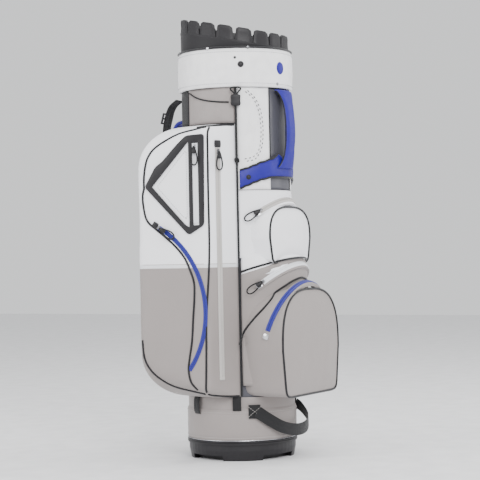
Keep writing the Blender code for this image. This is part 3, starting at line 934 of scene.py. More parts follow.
@dataclass
class Organiser:
    """The moulded top: a sloping mouth ring with raised lobes and a grid of club ways."""

    radius: float = 0.1100
    wall: float = 0.0090
    slope: float = 0.2045
    ledge: float = 0.8455
    skirt_low: float = 0.7800
    lobes: int = 18
    lobe_height: float = 0.0300

    def tilt(self, point: Vector) -> float:
        """The extra height of a point on the sloping mouth."""
        share = min(1.0, max(0.0, (point.z - self.skirt_low) / 0.025))
        return self.slope * point.y * share

    def build_ring(self) -> None:
        """The ring below the lobes, with its outer bead and rolled lip."""
        r, low, ledge = self.radius, self.skirt_low, self.ledge
        inner = r - self.wall
        profile = [(low, r), (low + 0.026, r), (ledge - 0.006, r), (ledge - 0.0045, r + 0.0007),
                   (ledge - 0.001, r + 0.0007), (ledge + 0.0006, r - 0.0012),
                   (ledge + 0.0006, inner + 0.0012), (ledge - 0.001, inner),
                   (low + 0.026, inner), (low, inner)]
        ring = turned("organiser_mouth_ring", profile, "organiser_plastic", self.tilt)
        deliver(ring, "organiser_plastic", replaces=("organiser_ring",))

    def lobe(self, turn: float) -> tuple[Route, list[tuple[int, ...]]]:
        """One lobe: a curved plate that narrows to a round top, with a hollow outer face.

        Args:
            turn: the angle, in degrees.

        Returns:
            The lobe's points and faces.
        """
        half_pitch = 180 / self.lobes
        rows, across = 9, 12
        inner, outer = self.radius - self.wall + 0.0006, self.radius - 0.0003
        points: Route = []
        for layer in (0, 1):
            for i in range(rows):
                v = i / (rows - 1)
                half = half_pitch * (0.97 - 0.19 * v) * (1.0 if v < 0.86 else
                                                         1.0 - 0.10 * ((v - 0.86) / 0.14) ** 2)
                for k in range(across):
                    u = -1 + 2 * k / (across - 1)
                    round_edge = 0.0018 * max(0.0, abs(u) - 0.75) / 0.25
                    round_top = 0.0022 * max(0.0, v - 0.82) / 0.18
                    dish = 0.0009 * (1 - u * u) * math.sin(math.pi * min(1.0, v * 1.1))
                    r = (outer - round_edge - round_top - dish) if layer else \
                        (inner + round_edge + round_top)
                    height = self.ledge - 0.0006 + (self.lobe_height - 0.0026) * v
                    height -= 0.0022 * (abs(u) ** 8) * (v > 0.9)
                    point = polar(r, turn + half * u, height)
                    point.z += self.slope * point.y
                    points.append(point)
        sheet = rows * across
        faces: list[tuple[int, ...]] = []
        for layer in (0, 1):
            for i in range(rows - 1):
                for k in range(across - 1):
                    a = layer * sheet + i * across + k
                    faces.append((a, a + 1, a + across + 1, a + across))
        rim = ([k for k in range(across)] + [i * across + across - 1 for i in range(1, rows)]
               + [(rows - 1) * across + k for k in range(across - 2, -1, -1)]
               + [i * across for i in range(rows - 2, 0, -1)])
        for a, b in zip(rim, rim[1:] + rim[:1]):
            faces.append((a, b, b + sheet, a + sheet))
        return points, faces

    def build_lobes(self) -> None:
        """All the lobes, as one moulding with rounded edges."""
        meshes = [self.lobe(360 * i / self.lobes) for i in range(self.lobes)]
        for i in range(self.lobes):
            turn = 360 * (i + 0.5) / self.lobes
            line = [polar(self.radius - 0.0062, turn + d, self.ledge + 0.0060) for d in (-5, -2.5,
                    0, 2.5, 5)]
            for p in line:
                p.z += self.slope * p.y
            meshes.append(sweep_mesh(line, [UP] * 5, [soft_box(0.0030, 0.0150, 0.0012, 2)]))
        deliver(merge("organiser_lobes", meshes, "organiser_plastic"), "organiser_plastic")

    def build(self) -> None:
        """Build the ring and lobes, and dress the grid and the dividers."""
        self.build_ring()
        self.build_lobes()
        dress("organiser_grid", "organiser_plastic")
        for node in ("divider_front", "divider_middle", "divider_rear"):
            dress(node, "divider_fabric")
        for node in ("spine_stay_left", "spine_stay_right"):
            dress(node, "stay_metal")
        # the tube wall takes the same dark finish of painted shade
        dress("tube_wall", "recess_painted_shade")


# ------------------------------------------------------------------------------ collar and neck


@dataclass
class Collar:
    """The white cuff under the mouth, with its trim, seams, snap, rivets and plain badge."""

    low: float = 0.7410
    high: float = 0.8170
    radius: float = 0.1160

    def build_cuff(self) -> Skin:
        """The padded cuff, its folds and the black trim over it.

        Returns:
            The surface that the other collar pieces are laid on.
        """
        low, high, r = self.low, self.high, self.radius
        profile = [(low, r - 0.0045), (low + 0.0006, r - 0.0012), (low + 0.003, r + 0.0002),
                   (low + 0.008, r + 0.0003), (low + 0.030, r + 0.0010), (low + 0.055, r + 0.0006),
                   (high - 0.004, r), (high, r - 0.0015), (high, 0.1104), (low, 0.1104)]
        cuff = turned("collar_cover", profile, "white_hide",
                      lambda p: 0.0003 * noise.noise(p * 30))
        for vertex in cuff.data.vertices:
            out = Vector((vertex.co.x, vertex.co.y, 0)).normalized()
            vertex.co += out * wrinkle(vertex.co, 0.0006, 16.0, 3.0)
        deliver(cuff, "white_hide", replaces=("collar_cuff",))
        trim_low = high + 0.0003
        trim = turned("collar_binding", [(trim_low, 0.1104), (trim_low, 0.1160),
                                         (trim_low + 0.001, 0.1172), (trim_low + 0.0027, 0.1172),
                                         (trim_low + 0.0037, 0.1155), (trim_low + 0.0037, 0.1104)],
                      "black_piping")
        deliver(trim, "black_piping", replaces=("collar_trim",))
        return Skin(cuff)

    def build_seams(self, skin: Skin) -> None:
        """Stitch rows along the lower and upper edges, and three slanting seams on each side.

        Args:
            skin: the surface to lay pieces on.
        """
        for name, height in (("collar_stitch_low", self.low + 0.0070),
                             ("collar_stitch_high", self.high - 0.0065)):
            ring = [polar(self.radius, a, height) for a in range(0, 361, 3)]
            laid, ups = skin.lay(ring, to_axis, 0.0002)
            deliver(stitches(name, laid, ups, "stitch_thread"), "stitch_thread")
        for side in (-1, 1):
            for k, (start, end) in enumerate(((248, 233), (176, 190), (138, 128))):
                mid = 270
                a, b = (start, end) if side < 0 else (2 * mid - start, 2 * mid - end)
                line = [polar(self.radius, a + (b - a) * i / 14,
                              self.high - 0.004 - (self.high - self.low - 0.012) * i / 14)
                        for i in range(15)]
                laid, ups = skin.lay(line, to_axis, -0.0001)
                name = f"collar_slant_seam_{side_word(side)}_{k}"
                deliver(sweep(name, laid, ups, round_profile(0.0007, 6), "white_hide"),
                        "white_hide")

    def build_fittings(self) -> None:
        """The snap, the rivets and a plain oval badge with no marking."""
        snap = stud("collar_snap_cap", polar(self.radius + 0.0008, 215.5, 0.7850), 0.0062,
                    "black_plastic", domed=True)
        deliver(snap, "black_plastic")
        deliver(stud("collar_snap_small", polar(self.radius + 0.0008, 210, 0.7985), 0.0026,
                     "black_plastic"), "black_plastic", replaces=("collar_snap",))
        for i, (angle, height, radius) in enumerate(((182.7, 0.8185, 0.0030), (223.0, 0.8185,
                0.0030),
                                                     (137.2, 0.8185, 0.0030), (122.1, 0.7845,
                                                             0.0026),
                                                     (255.9, 0.7480, 0.0030), (317.0, 0.8185,
                                                             0.0030),
                                                     (58.0, 0.7845, 0.0026))):
            finish = "bright_metal" if i in (0, 3, 6) else "zip_metal"
            place = polar(self.radius + 0.0010, angle, height)
            deliver(stud(f"collar_rivet_{i}", place, radius, finish), finish)
        badge = stud("collar_badge", polar(self.radius + 0.0010, 260.0, 0.7800), 0.0100,
                     "blue_leather", tall=1.25)
        deliver(badge, "blue_leather")
        edge = [polar(self.radius + 0.0020, 260.0 + math.degrees(0.0088 / self.radius)
                      * math.sin(math.tau * i / 36),
                      0.7800 + 0.0112 * math.cos(math.tau * i / 36)) for i in range(36)]
        ups = [(-to_axis(p)).normalized() for p in edge]
        deliver(stitches("badge_stitch", edge + edge[:1], ups + ups[:1], "stitch_thread",
                         length=0.0016, gap=0.0010, thick=0.0003), "stitch_thread")

    def build(self) -> None:
        """Build the whole collar."""
        skin = self.build_cuff()
        self.build_seams(skin)
        self.build_fittings()


def stud(name: str, place: Vector, radius: float, finish: str, domed: bool = False,
         tall: float = 1.0) -> bpy.types.Object:
    """A rivet or snap cap, facing away from the bag's axis.

    Args:
        name: the object's name.
        place: the centre of its foot.
        radius: its radius.
        finish: its finish.
        domed: a snap's stepped dome in place of a rivet's low head.
        tall: how much taller than wide it is.

    Returns:
        The object.
    """
    rings = ([(1.0, -0.15), (1.0, 0.10), (0.94, 0.20), (0.72, 0.22), (0.66, 0.16), (0.60, 0.24),
              (0.45, 0.34), (0.22, 0.39)] if domed else
             [(1.0, -0.20), (1.0, 0.06), (0.93, 0.16), (0.74, 0.24), (0.45, 0.29), (0.2, 0.31)])
    out = Vector((place.x, place.y, 0)).normalized()
    side = UP.cross(out)
    sides = 28
    points = [place + side * radius * r * math.cos(math.tau * i / sides)
              + UP * radius * tall * r * math.sin(math.tau * i / sides) + out * radius * h
              for r, h in rings for i in range(sides)]
    points.append(place + out * radius * rings[-1][1] * 1.02)
    faces: list[tuple[int, ...]] = [tuple(range(sides - 1, -1, -1))]
    for k in range(len(rings) - 1):
        faces += [(k * sides + i, k * sides + (i + 1) % sides, (k + 1) * sides + (i + 1) % sides,
                   (k + 1) * sides + i) for i in range(sides)]
    last = (len(rings) - 1) * sides
    faces += [(last + i, last + (i + 1) % sides, len(points) - 1) for i in range(sides)]
    return make(name, points, faces, finish)


@dataclass
class Wrap:
    """One fabric panel wrapped round the tube between two angles."""

    name: str
    start: float
    end: float
    low: float
    high: float
    finish: str
    replaces: tuple[str, ...] = ()
    radius: float = 0.1092
    puff: float = 0.0012
    seed: float = 0.0

    def build(self) -> bpy.types.Object:
        """Build the panel as a crowned sheet with soft creases.

        Returns:
            The panel.
        """
        across = max(8, int(abs(self.end - self.start) / 2.5))
        rows = max(8, int((self.high - self.low) / 0.006))
        points: Route = []
        for i in range(rows + 1):
            v = i / rows
            for k in range(across + 1):
                u = k / across
                crown = self.puff * min(1.0, 6 * u, 6 * (1 - u)) * min(1.0, 8 * v, 8 * (1 - v))
                flat = polar(1.0, self.start + (self.end - self.start) * u)
                place = flat * self.radius + UP * (self.low + (self.high - self.low) * v)
                crease = wrinkle(place, 0.0008, 22.0, self.seed)
                points.append(place + flat * (crown + crease * min(1.0, 5 * u, 5 * (1 - u))))
        faces = grid_faces(rows, across)
        panel = make(self.name, points, faces, self.finish)
        face_out(panel)
        thicken(panel, 0.0016)
        return deliver(panel, self.finish, replaces=self.replaces)


def face_out(obj: bpy.types.Object) -> None:
    """Turn an open sheet's faces away from the bag's axis.

    Args:
        obj: the open sheet.
    """
    total = 0.0
    for polygon in obj.data.polygons:
        centre = polygon.center
        total += polygon.normal.dot(Vector((centre.x, centre.y, 0))) * polygon.area
    if total < 0:
        obj.data.flip_normals()


@dataclass
class Neck:
    """The panels above the pockets, the handle's recess and their seams."""

    top: float = 0.7408
    low: float = 0.6700

    def build(self) -> None:
        """Build the neck's panels, piping and double stitching."""
        top = self.top
        panels = [Wrap("neck_left_cover", 150.3, 209.3, self.low, top, "grey_hide",
                       ("neck_left_panel",), seed=1.0),
                  Wrap("neck_right_cover", -29.3, 29.7, self.low, top, "grey_hide",
                       ("neck_right_panel",), seed=2.0),
                  Wrap("neck_back_cover", 30.3, 149.7, self.low, top, "black_fabric",
                       ("neck_back_panel",), seed=3.0),
                  Wrap("neck_front_left_cover", 210.5, 247.3, 0.5375, top, "white_hide",
                       ("front_left_panel",), seed=4.0),
                  Wrap("neck_front_right_cover", 292.7, 329.5, 0.5375, top, "white_hide",
                       ("front_right_panel",), seed=5.0),
                  Wrap("front_chest_cover", 210.5, 329.5, 0.4020, 0.5365, "white_fabric",
                       ("front_panel",), seed=6.0),
                  Wrap("spine_cover", 62.3, 117.7, 0.1275, 0.6715, "grey_fabric",
                       ("spine_panel",), radius=0.1108, puff=0.0020, seed=7.0)]
        made = [panel.build() for panel in panels]
        for side, angle in (("left", 209.9), ("right", 330.1)):
            seam = [polar(0.1100, angle, z / 1000) for z in range(130, 741, 10)]
            piping(f"neck_seam_piping_{side}", seam, radius=0.0021)
        for side, angle in (("left", 150.0), ("right", 30.0)):
            seam = [polar(0.1096, angle, z / 1000) for z in range(672, 741, 8)]
            piping(f"neck_back_piping_{side}", seam, radius=0.0015)
        for side, angle in (("left", 118.2), ("right", 61.8)):
            seam = [polar(0.1108, angle, z / 1000) for z in range(128, 672, 12)]
            piping(f"spine_piping_{side}", seam, radius=0.0020)
        self.recess()
        for side, panel in ((-1, made[3]), (1, made[4])):
            skin = Skin(panel)
            for k, grow in enumerate((0.0, 0.0045)):
                outline = [polar(0.110, 270 + side * (270 - a - math.degrees(grow / 0.11)), z)
                           for a, z in ((221.0, 0.7300 + grow * 0.5), (229.0, 0.7160), (234.5,
                                   0.6900),
                                        (236.3, 0.6600), (235.3, 0.6290), (232.0, 0.6110),
                                        (226.5, 0.6020 - grow), (219.0, 0.5985 - grow))]
                laid, ups = skin.lay(curve_through(outline, 0.003), to_axis, 0.0003)
                deliver(stitches(f"neck_stitch_{side_word(side)}_{k}", laid, ups,
                                 "dark_thread", length=0.0044, gap=0.0044, thick=0.0008),
                        "dark_thread")

    def recess(self) -> None:
        """The panel behind the front handle, slightly dished, with an edge seam; its dark slate
        colour is painted shade for the recess behind the handle.
        """
        across, rows = 26, 40
        points: Route = []
        for i in range(rows + 1):
            z = 0.5380 + (self.top - 0.5380) * i / rows
            for k in range(across + 1):
                u = -1 + 2 * k / across
                points.append(polar(0.1064 - 0.0008 * (1 - u * u), 270 + 22.6 * u, z))
        faces = grid_faces(rows, across)
        # the panel's dark slate finish is painted shade behind the handle
        panel = make("handle_recess", points, faces, "recess_painted_shade")
        face_out(panel)
        thicken(panel, 0.0012)
        deliver(panel, "recess_painted_shade")
        for side in (-1, 1):
            edge = [polar(0.1098, 270 + side * 22.7, z / 1000) for z in range(600, 741, 7)]
            piping(f"recess_piping_{side_word(side)}", edge, radius=0.0012)


# ------------------------------------------------------------------------------ handles


@dataclass
class FrontHandle:
    """The blue front handle: a padded grip that flares into a yoke below it."""

    yoke: tuple[tuple[float, float, float], ...] = (
        (0.0, 0.5625, 0.5990), (12.0, 0.5625, 0.6080), (22.0, 0.5620, 0.5985), (34.0, 0.5575,
                0.5920),
        (42.0, 0.5520, 0.5860), (50.0, 0.5455, 0.5800), (57.5, 0.5395, 0.5765))

    def yoke_edges(self, turn: float) -> tuple[float, float]:
        """The yoke's lower and upper height at an angle from the front.

        Args:
            turn: the angle from the front, in degrees.

        Returns:
            The two heights.
        """
        turn = abs(turn)
        for (a, low_a, high_a), (b, low_b, high_b) in zip(self.yoke, self.yoke[1:]):
            if turn <= b:
                t = (turn - a) / (b - a)
                t = t * t * (3 - 2 * t)
                return low_a + (low_b - low_a) * t, high_a + (high_b - high_a) * t
        return self.yoke[-1][1], self.yoke[-1][2]

    def build_yoke(self) -> None:
        """The yoke: a crowned leather band with piping on both edges."""
        span, across, rows = 57.5, 92, 14
        points: Route = []
        for i in range(rows + 1):
            v = i / rows
            for k in range(across + 1):
                turn = span * (-1 + 2 * k / across)
                low, high = self.yoke_edges(turn)
                z = low + (high - low) * v
                crown = 0.0030 * math.sin(math.pi * v) ** 0.7
                place = polar(0.1118 + crown, 270 + turn, z)
                crease = wrinkle(place, 0.0010, 34.0, 9.0) * math.sin(math.pi * v)
                points.append(place + polar(crease, 270 + turn))
        faces = grid_faces(rows, across)
        band = make("handle_yoke_band", points, faces, "blue_leather")
        face_out(band)
        thicken(band, 0.0016)
        deliver(band, "blue_leather", replaces=("handle_yoke",))
        turns = [span * (-1 + 2 * k / 60) for k in range(61)]
        piping("yoke_piping_low", [polar(0.1130, 270 + t, self.yoke_edges(t)[0]) for t in turns],
               radius=0.0020)
        for side in (-1, 1):
            upper = [polar(0.1130, 270 + side * t, self.yoke_edges(t)[1])
                     for t in [14 + 43.5 * i / 30 for i in range(31)]]
            piping(f"yoke_piping_high_{side_word(side)}", upper, radius=0.0020)
            deliver(stud(f"yoke_rivet_{side_word(side)}",
                         polar(0.1150, 270 + side * 48.7, 0.5620), 0.0050, "black_plastic", True),
                    "black_plastic")

    def grip_section(self, z: float) -> tuple[float, float, float]:
        """The grip's half width, front and back distance from the axis at a height.

        Args:
            z: the height.

        Returns:
            The three distances.
        """
        t = min(1.0, max(0.0, (z - 0.578) / (0.737 - 0.578)))
        arch = math.sin(math.pi * min(1.0, max(0.0, t))) ** 0.55
        flare = 0.0155 * abs(2 * t - 1) ** 5
        half = 0.0165 + flare
        middle = 0.1135 + 0.0125 * arch
        thick = 0.0046 + 0.0012 * arch
        return half, middle + thick, middle - thick

    def build_grip(self) -> None:
        """The grip: a padded oval bar, wrapped in leather with a seam on each side."""
        rows, sides = 64, 30
        points: Route = []
        for i in range(rows + 1):
            z = 0.5800 + (0.7370 - 0.5800) * i / rows
            half, front, back = self.grip_section(z)
            for k in range(sides):
                a = math.tau * k / sides
                c, s = math.cos(a), math.sin(a)
                x = half * math.copysign(abs(c) ** 0.72, c)
                y = -(front + back) / 2 - (front - back) / 2 * math.copysign(abs(s) ** 0.8, s)
                y += 0.16 * x * x / 0.0300
                place = Vector((x, y, z))
                points.append(place + Vector((0, wrinkle(place, 0.0008, 60.0, 11.0), 0)))
        faces = [(i * sides + k, i * sides + (k + 1) % sides, (i + 1) * sides + (k + 1) % sides,
                  (i + 1) * sides + k) for i in range(rows) for k in range(sides)]
        faces += [tuple(range(sides - 1, -1, -1)), tuple(rows * sides + k for k in range(sides))]
        grip = make("front_handle_grip", points, faces, "blue_leather")
        deliver(grip, "blue_leather", replaces=("front_handle",))
        for side in (-1, 1):
            edge: Route = []
            for i in range(53):
                z = 0.5820 + (0.7350 - 0.5820) * i / 52
                half, front, back = self.grip_section(z)
                edge.append(Vector((side * (half + 0.0004),
                                    -(front + back) / 2 + 0.16 * half * half / 0.03, z)))
            piping(f"front_grip_piping_{side_word(side)}", edge, radius=0.0013)

    def build(self) -> None:
        """Build the yoke and the grip."""
        self.build_yoke()
        self.build_grip()


# ------------------------------------------------------------------------------ zips


GAP = 0.0003
SLIDER_HALF = 0.0017
PULL_RADIUS = 0.0013
PULL_LIFT = 0.0033
APPAREL_ARC = (Vector((0.100, 0.466)), Vector((0.0242, 0.383)), Vector((0.0157, 0.234)))
SEAM = Vector((-0.0955, -0.0536, 0.0))
FRONT_EDGE = Vector((-0.1630, -0.0220, 0.0))
REAR_EDGE = Vector((-0.1900, 0.1280, 0.0))


def tape_profile(width: float) -> list[tuple[float, float]]:
    """A coated zip's outline: two flat lips that meet at a narrow slit.

    Args:
        width: the full width.

    Returns:
        The outline, as (across, up) pairs.
    """
    half = width / 2
    return [(half, 0.0), (half, 0.0006), (half * 0.80, 0.0011), (0.0007, 0.0013), (0.0002, 0.0005),
            (-0.0002, 0.0005), (-0.0007, 0.0013), (-half * 0.80, 0.0011), (-half, 0.0006),
            (-half, 0.0)]


@dataclass
class ZipParts:
    """A zip's slider, with its bridge, and the cord pull that hangs from it."""

    name: str
    along: Vector
    across: Vector
    out: Vector

    def slider(self, centre: Vector, finish: str = "zip_metal") -> None:
        """The slider: a waisted body and a raised bridge.

        Args:
            centre: the middle of its CAD solid.
            finish: its finish.
        """
        meshes = []
        line = [centre + self.along * 0.0052 * (k / 4 - 1) for k in range(9)]
        widths = (0.0050, 0.0062, 0.0064, 0.0058, 0.0050, 0.0056, 0.0064, 0.0062, 0.0048)
        outlines = [soft_box(w, 0.0026 if k not in (0, 8) else 0.0014, 0.0006, 2)
                    for k, w in enumerate(widths)]
        meshes.append(sweep_mesh([p - self.out * 0.0004 for p in line], [self.out] * 9, outlines))
        arch = [centre + self.along * a + self.out * b for a, b in
                ((-0.0040, 0.0006), (-0.0038, 0.0018), (-0.0022, 0.0026), (0.0, 0.0028),
                 (0.0022, 0.0026), (0.0038, 0.0018), (0.0040, 0.0006))]
        meshes.append(sweep_mesh(arch, [self.across] * 7, [soft_box(0.0008, 0.0022, 0.0003, 1)]))
        deliver(merge(self.name + "_slider_body", meshes, finish), finish,
                self.name + "_slider", (self.name + "_slider",))

    def pull(self, pivot: Vector, down: Vector, long: float = 0.0360, wide: float = 0.0190) -> None:
        """The pull: a cord doubled into a drop, with a moulded bead where its ends meet.

        Args:
            pivot: the hinge's place.
            down: the direction that it hangs in.
            long: its length.
            wide: its greatest width.
        """
        side = down.cross(self.out).normalized()
        loop: Route = []
        for i in range(44):
            a = math.tau * i / 44
            share = (1 - math.cos(a)) / 2
            loop.append(pivot + down * long * share
                        + side * wide / 2 * math.sin(a) * (0.30 + 0.70 * share))
        cord = sweep(self.name + "_pull_cord", loop, [self.out] * 44, round_profile(0.0015, 8),
                     "black_cord", closed=True)
        deliver(cord, "black_cord", self.name + "_pull", (self.name + "_pull",))
        line = [pivot + down * (0.0030 + 0.0110 * k / 6) for k in range(7)]
        outlines = [soft_box(w, h, 0.0008, 2) for w, h in (
            (0.0030, 0.0024), (0.0046, 0.0032), (0.0054, 0.0034), (0.0060, 0.0034),
            (0.0066, 0.0034), (0.0068, 0.0030), (0.0056, 0.0022))]
        bead = make(self.name + "_pull_bead", *sweep_mesh(line, [self.out] * 7, outlines),
                    "black_plastic")
        deliver(bead, "black_plastic", self.name + "_pull")


def garage(name: str, place: Vector, along: Vector, out: Vector, finish: str,
           size: tuple[float, float] = (0.0130, 0.0110)) -> None:
    """The moulded end cover of a zip, a low hood with round corners.

    Args:
        name: the piece's name.
        place: its middle, on the surface.
        along: the zip's direction.
        out: the surface's outward direction.
        finish: its finish.
        size: its length and width.
    """
    line = [place + along * size[0] * (k / 6 - 0.5) for k in range(7)]
    heights = (0.0008, 0.0018, 0.0024, 0.0026, 0.0024, 0.0018, 0.0008)
    outlines = [soft_box(size[1] * (0.86 if k in (0, 6) else 1.0), h, min(h * 0.45, 0.0009), 2)
                for k, h in enumerate(heights)]
    deliver(make(name, *sweep_mesh(line, [out] * 7, outlines), finish), finish)


# ------------------------------------------------------------------------------ side pockets


class FlatFace:
    """A flat upright face of a side pocket, between two corners of its plan."""

    def __init__(self, start: Vector, end: Vector, right: bool) -> None:
        """Set up the face's directions.

        Args:
            start: the corner where distances along it begin.
            end: the other corner.
            right: take the mirror image, for the right pocket.
        """
        flip = -1 if right else 1
        self.start = Vector((flip * start.x, start.y, 0))
        self.along = (Vector((flip * end.x, end.y, 0)) - self.start).normalized()
        self.out = Vector((self.along.y, -self.along.x, 0))
        if self.out.dot(self.start) < 0:
            self.out = -self.out

    def at(self, w: float, z: float, lift: float = 0.0) -> Vector:
        """The point at a distance along the face, a height and a distance off it."""
        return self.start + self.along * w + self.out * lift + UP * z


class CalmZones:
    """Where the side pocket's fabric is held flat: along its zips and under its frame."""

    def __init__(self, right: bool) -> None:
        """Set up the faces and the curved zip's circle.

        Args:
            right: whether it is for the right pocket.
        """
        self.near = FlatFace(SEAM, FRONT_EDGE, False)
        self.outer = FlatFace(FRONT_EDGE, REAR_EDGE, False)
        self.right = right
        self.centre, self.radius = circle_through(*APPAREL_ARC)

    def at(self, point: Vector, z: float) -> float:
        """How free the fabric is at a point, from 0 where it is held to 1.

        Args:
            point: the place in plan, on the left pocket.
            z: its height.

        Returns:
            The share of the unevenness that is let through.
        """
        flat = Vector((point.x, point.y, 0))
        w = (flat - self.outer.start).dot(self.outer.along)
        away = 1.0
        if -0.01 < w < 0.15:
            if 0.165 < z < 0.485:
                away = abs((Vector((w, z)) - self.centre).length - self.radius) - 0.006
            if not self.right:
                away = min(away, max(w - 0.135, 0.440 - z, z - 0.660, 0.0))
        across = (flat - self.near.start).dot(self.near.along)
        if not self.right and 0.0 < across < 0.072:
            away = min(away, abs(across - 0.0447) - 0.008)
        share = min(1.0, max(0.0, away / 0.016))
        return share * share * (3 - 2 * share)


@dataclass
class SidePocket:
    """A full-length side pocket: white above, grey below, with piped edges and its zips."""

    right: bool = False
    low: float = 0.1275
    high: float = 0.6680
    white_line: float = 0.3925
    band_line: float = 0.3850
    root_radius: float = 0.1095

    @property
    def side(self) -> str:
        """The word for the pocket's side."""
        return "right" if self.right else "left"

    def plan(self) -> list[tuple[Vector, float]]:
        """The outline in plan, as (point, height of its shoulder).

        Returns:
            The points with their shoulder heights.
        """
        rear_root = polar(self.root_radius, 120)
        outer: list[tuple[Vector, float]] = []
        corners = ((SEAM, 0.0, 0.006), (FRONT_EDGE, 0.010, 0.024), (REAR_EDGE, 0.026, 0.085),
                   (rear_root, 0.0, 0.030))
        last = SEAM.copy()
        for k in (1, 2):
            here, radius, rise = corners[k]
            start = here + (corners[k - 1][0] - here).normalized() * radius
            end = here + (corners[k + 1][0] - here).normalized() * radius
            near = corners[k - 1][2]
            steps = 10 if k == 1 else 20
            for i in range(steps):
                outer.append((last.lerp(start, i / steps), near + (rise - near) * i / steps))
            for i in range(9):
                t = i / 8
                outer.append(((1 - t)**2 * start + 2 * t * (1 - t) * here + t * t * end, rise))
            last = end
        for i in range(1, 15):
            outer.append((last.lerp(rear_root, i / 14), 0.085 - 0.055 * i / 14))
        return outer

    def heights(self) -> list[float]:
        """The rows' heights, close together at the ends and exact at the colour lines.

        Returns:
            The heights, from the lowest up.
        """
        rows = [self.low + 0.11 * (1 - math.cos(math.radians(90 * i / 18))) for i in range(18)]
        rows += [self.low + 0.11 + (self.band_line - self.low - 0.11) * i / 13 for i in range(13)]
        rows += [self.band_line, self.white_line]
        top = self.high - 0.11
        rows += [self.white_line + (top - self.white_line) * i / 15 for i in range(1, 16)]
        rows += [self.high - 0.11 * (1 - math.sin(math.radians(90 * i / 18))) for i in range(1, 19)]
        return rows

    def reach(self, z: float, rise: float) -> float:
        """How far the outline stands out at a height, from 0 at its ends to 1."""
        depth = max(self.low + rise - z, z - (self.high - rise), 0.0) / rise
        return math.sqrt(max(0.0, 1 - min(1.0, depth) ** 2))

    def build_wall(self) -> bpy.types.Object:
        """The pocket's fabric: crowned between its piped edges, with soft creases.

        Returns:
            The cover.
        """
        outline, heights = self.plan(), self.heights()
        flip = -1 if self.right else 1
        points: Route = []
        count = len(outline)
        centre = Vector((-0.10, 0.03, 0))
        calm = CalmZones(self.right)
        for z in heights:
            for i, (point, rise) in enumerate(outline):
                root = point.normalized() * self.root_radius
                part = self.reach(z, rise)
                flat = root + (point - root) * part
                out = (point - centre).normalized()
                u = i / (count - 1)
                middle = math.sin(math.pi * min(1.0, max(0.0, (u - 0.28) / 0.5)))
                end = min(1.0, 7 * (z - self.low), 7 * (self.high - z) + 0.05)
                crown = 0.0035 * middle * max(0.0, end) * part
                crease = wrinkle(Vector((flat.x, flat.y, z)), 0.0013, 17.0, 21.0 + flip) * part
                shift = out * (crown + crease * min(1.0, 8 * u, 8 * (1 - u))) * calm.at(flat, z)
                points.append(Vector((flip * (flat.x + shift.x), flat.y + shift.y, z)))
        faces = grid_faces(len(heights) - 1, count - 1)

        def finish_of(face: int) -> int:
            """The material slot of a face, from the height of its row."""
            z = heights[face // (count - 1)]
            return 0 if z >= self.white_line - 1e-6 else 1 if z < self.band_line - 1e-6 else 2

        wall = make(f"side_pocket_{self.side}_cover", points, faces, "white_fabric", "grey_fabric",
                    "white_zip", choose=finish_of)
        face_out(wall)
        thicken(wall, 0.0014)
        deliver(wall, "grey_fabric", replaces=(f"side_pocket_{self.side}",))
        return wall

    def lay_on(self, face: FlatFace, line: Sequence[tuple[float, float]], skin: Skin,
               lift: float = 0.0, spacing: float = 0.005) -> tuple[Route, Route]:
        """Lay a line, given along a flat face, on the fabric."""
        route = curve_through([face.at(w, z) for w, z in line], spacing)
        return skin.lay(route, lambda _: -face.out, lift, 0.05)

    def build_piping(self, near: FlatFace, outer: FlatFace, skin: Skin) -> None:
        """The piped seams: the top edge, the front edge, the curved seam and the bottom edge.

        Args:
            near: the face beside the seam.
            outer: the outer face.
            skin: the surface to lay pieces on.
        """
        front_edge = [(-0.004, 0.6590), (-0.0035, 0.55), (-0.003, 0.40), (0.0036, 0.286),
                      (0.0058, 0.190), (0.0080, 0.1420)]
        lines = {
            "front_edge": front_edge,
            "top_edge": [(0.002, 0.6600), (0.0252, 0.6560), (0.0585, 0.6497), (0.0871, 0.6364),
                         (0.1093, 0.6218), (0.1210, 0.6052), (0.1262, 0.5883), (0.1296, 0.5650),
                         (0.1300, 0.5434)],
            "curved_seam": [(0.1300, 0.5434), (0.1333, 0.5281), (0.1314, 0.5037), (0.1242, 0.4791),
                            (0.1061, 0.4625), (0.0855, 0.4458), (0.0648, 0.4272), (0.0464, 0.4047),
                            (0.0353, 0.3804), (0.0276, 0.3562), (0.0272, 0.3260), (0.0305, 0.2859),
                            (0.0340, 0.2437), (0.0400, 0.2096), (0.0430, 0.1854), (0.0385, 0.1620),
                            (0.0270, 0.1460)],
            "bottom_edge": [(0.1400, 0.2438), (0.1363, 0.2092), (0.1224, 0.1809), (0.0968, 0.1600),
                            (0.0735, 0.1500), (0.0454, 0.1440), (0.0128, 0.1380)],
        }
        for name, line in lines.items():
            laid, _ = self.lay_on(outer, line, skin, 0.0004)
            piping(f"side_{self.side}_{name}_piping", laid)
        top, _ = self.lay_on(near, [(0.004, 0.6660), (0.030, 0.6645), (0.060, 0.6620),
                                    (0.0705, 0.6605)], skin, 0.0004)
        piping(f"side_{self.side}_neck_edge_piping", top)
        low, _ = self.lay_on(near, [(0.004, 0.1300), (0.030, 0.1315), (0.060, 0.1350),
                                    (0.0705, 0.1380)], skin, 0.0004)
        piping(f"side_{self.side}_foot_edge_piping", low)
        for height, name in ((self.white_line, "white"), (self.band_line, "grey")):
            for face, span, part in ((near, (0.006, 0.070), "near"), (outer, (0.006, 0.136),
                    "outer")):
                line = [(span[0] + (span[1] - span[0]) * i / 5, height) for i in range(6)]
                laid, ups = self.lay_on(face, line, skin, 0.0001)
                deliver(sweep(f"side_{self.side}_{name}_line_{part}", laid, ups,
                              round_profile(0.0006, 6), "grey_zip"), "grey_zip")

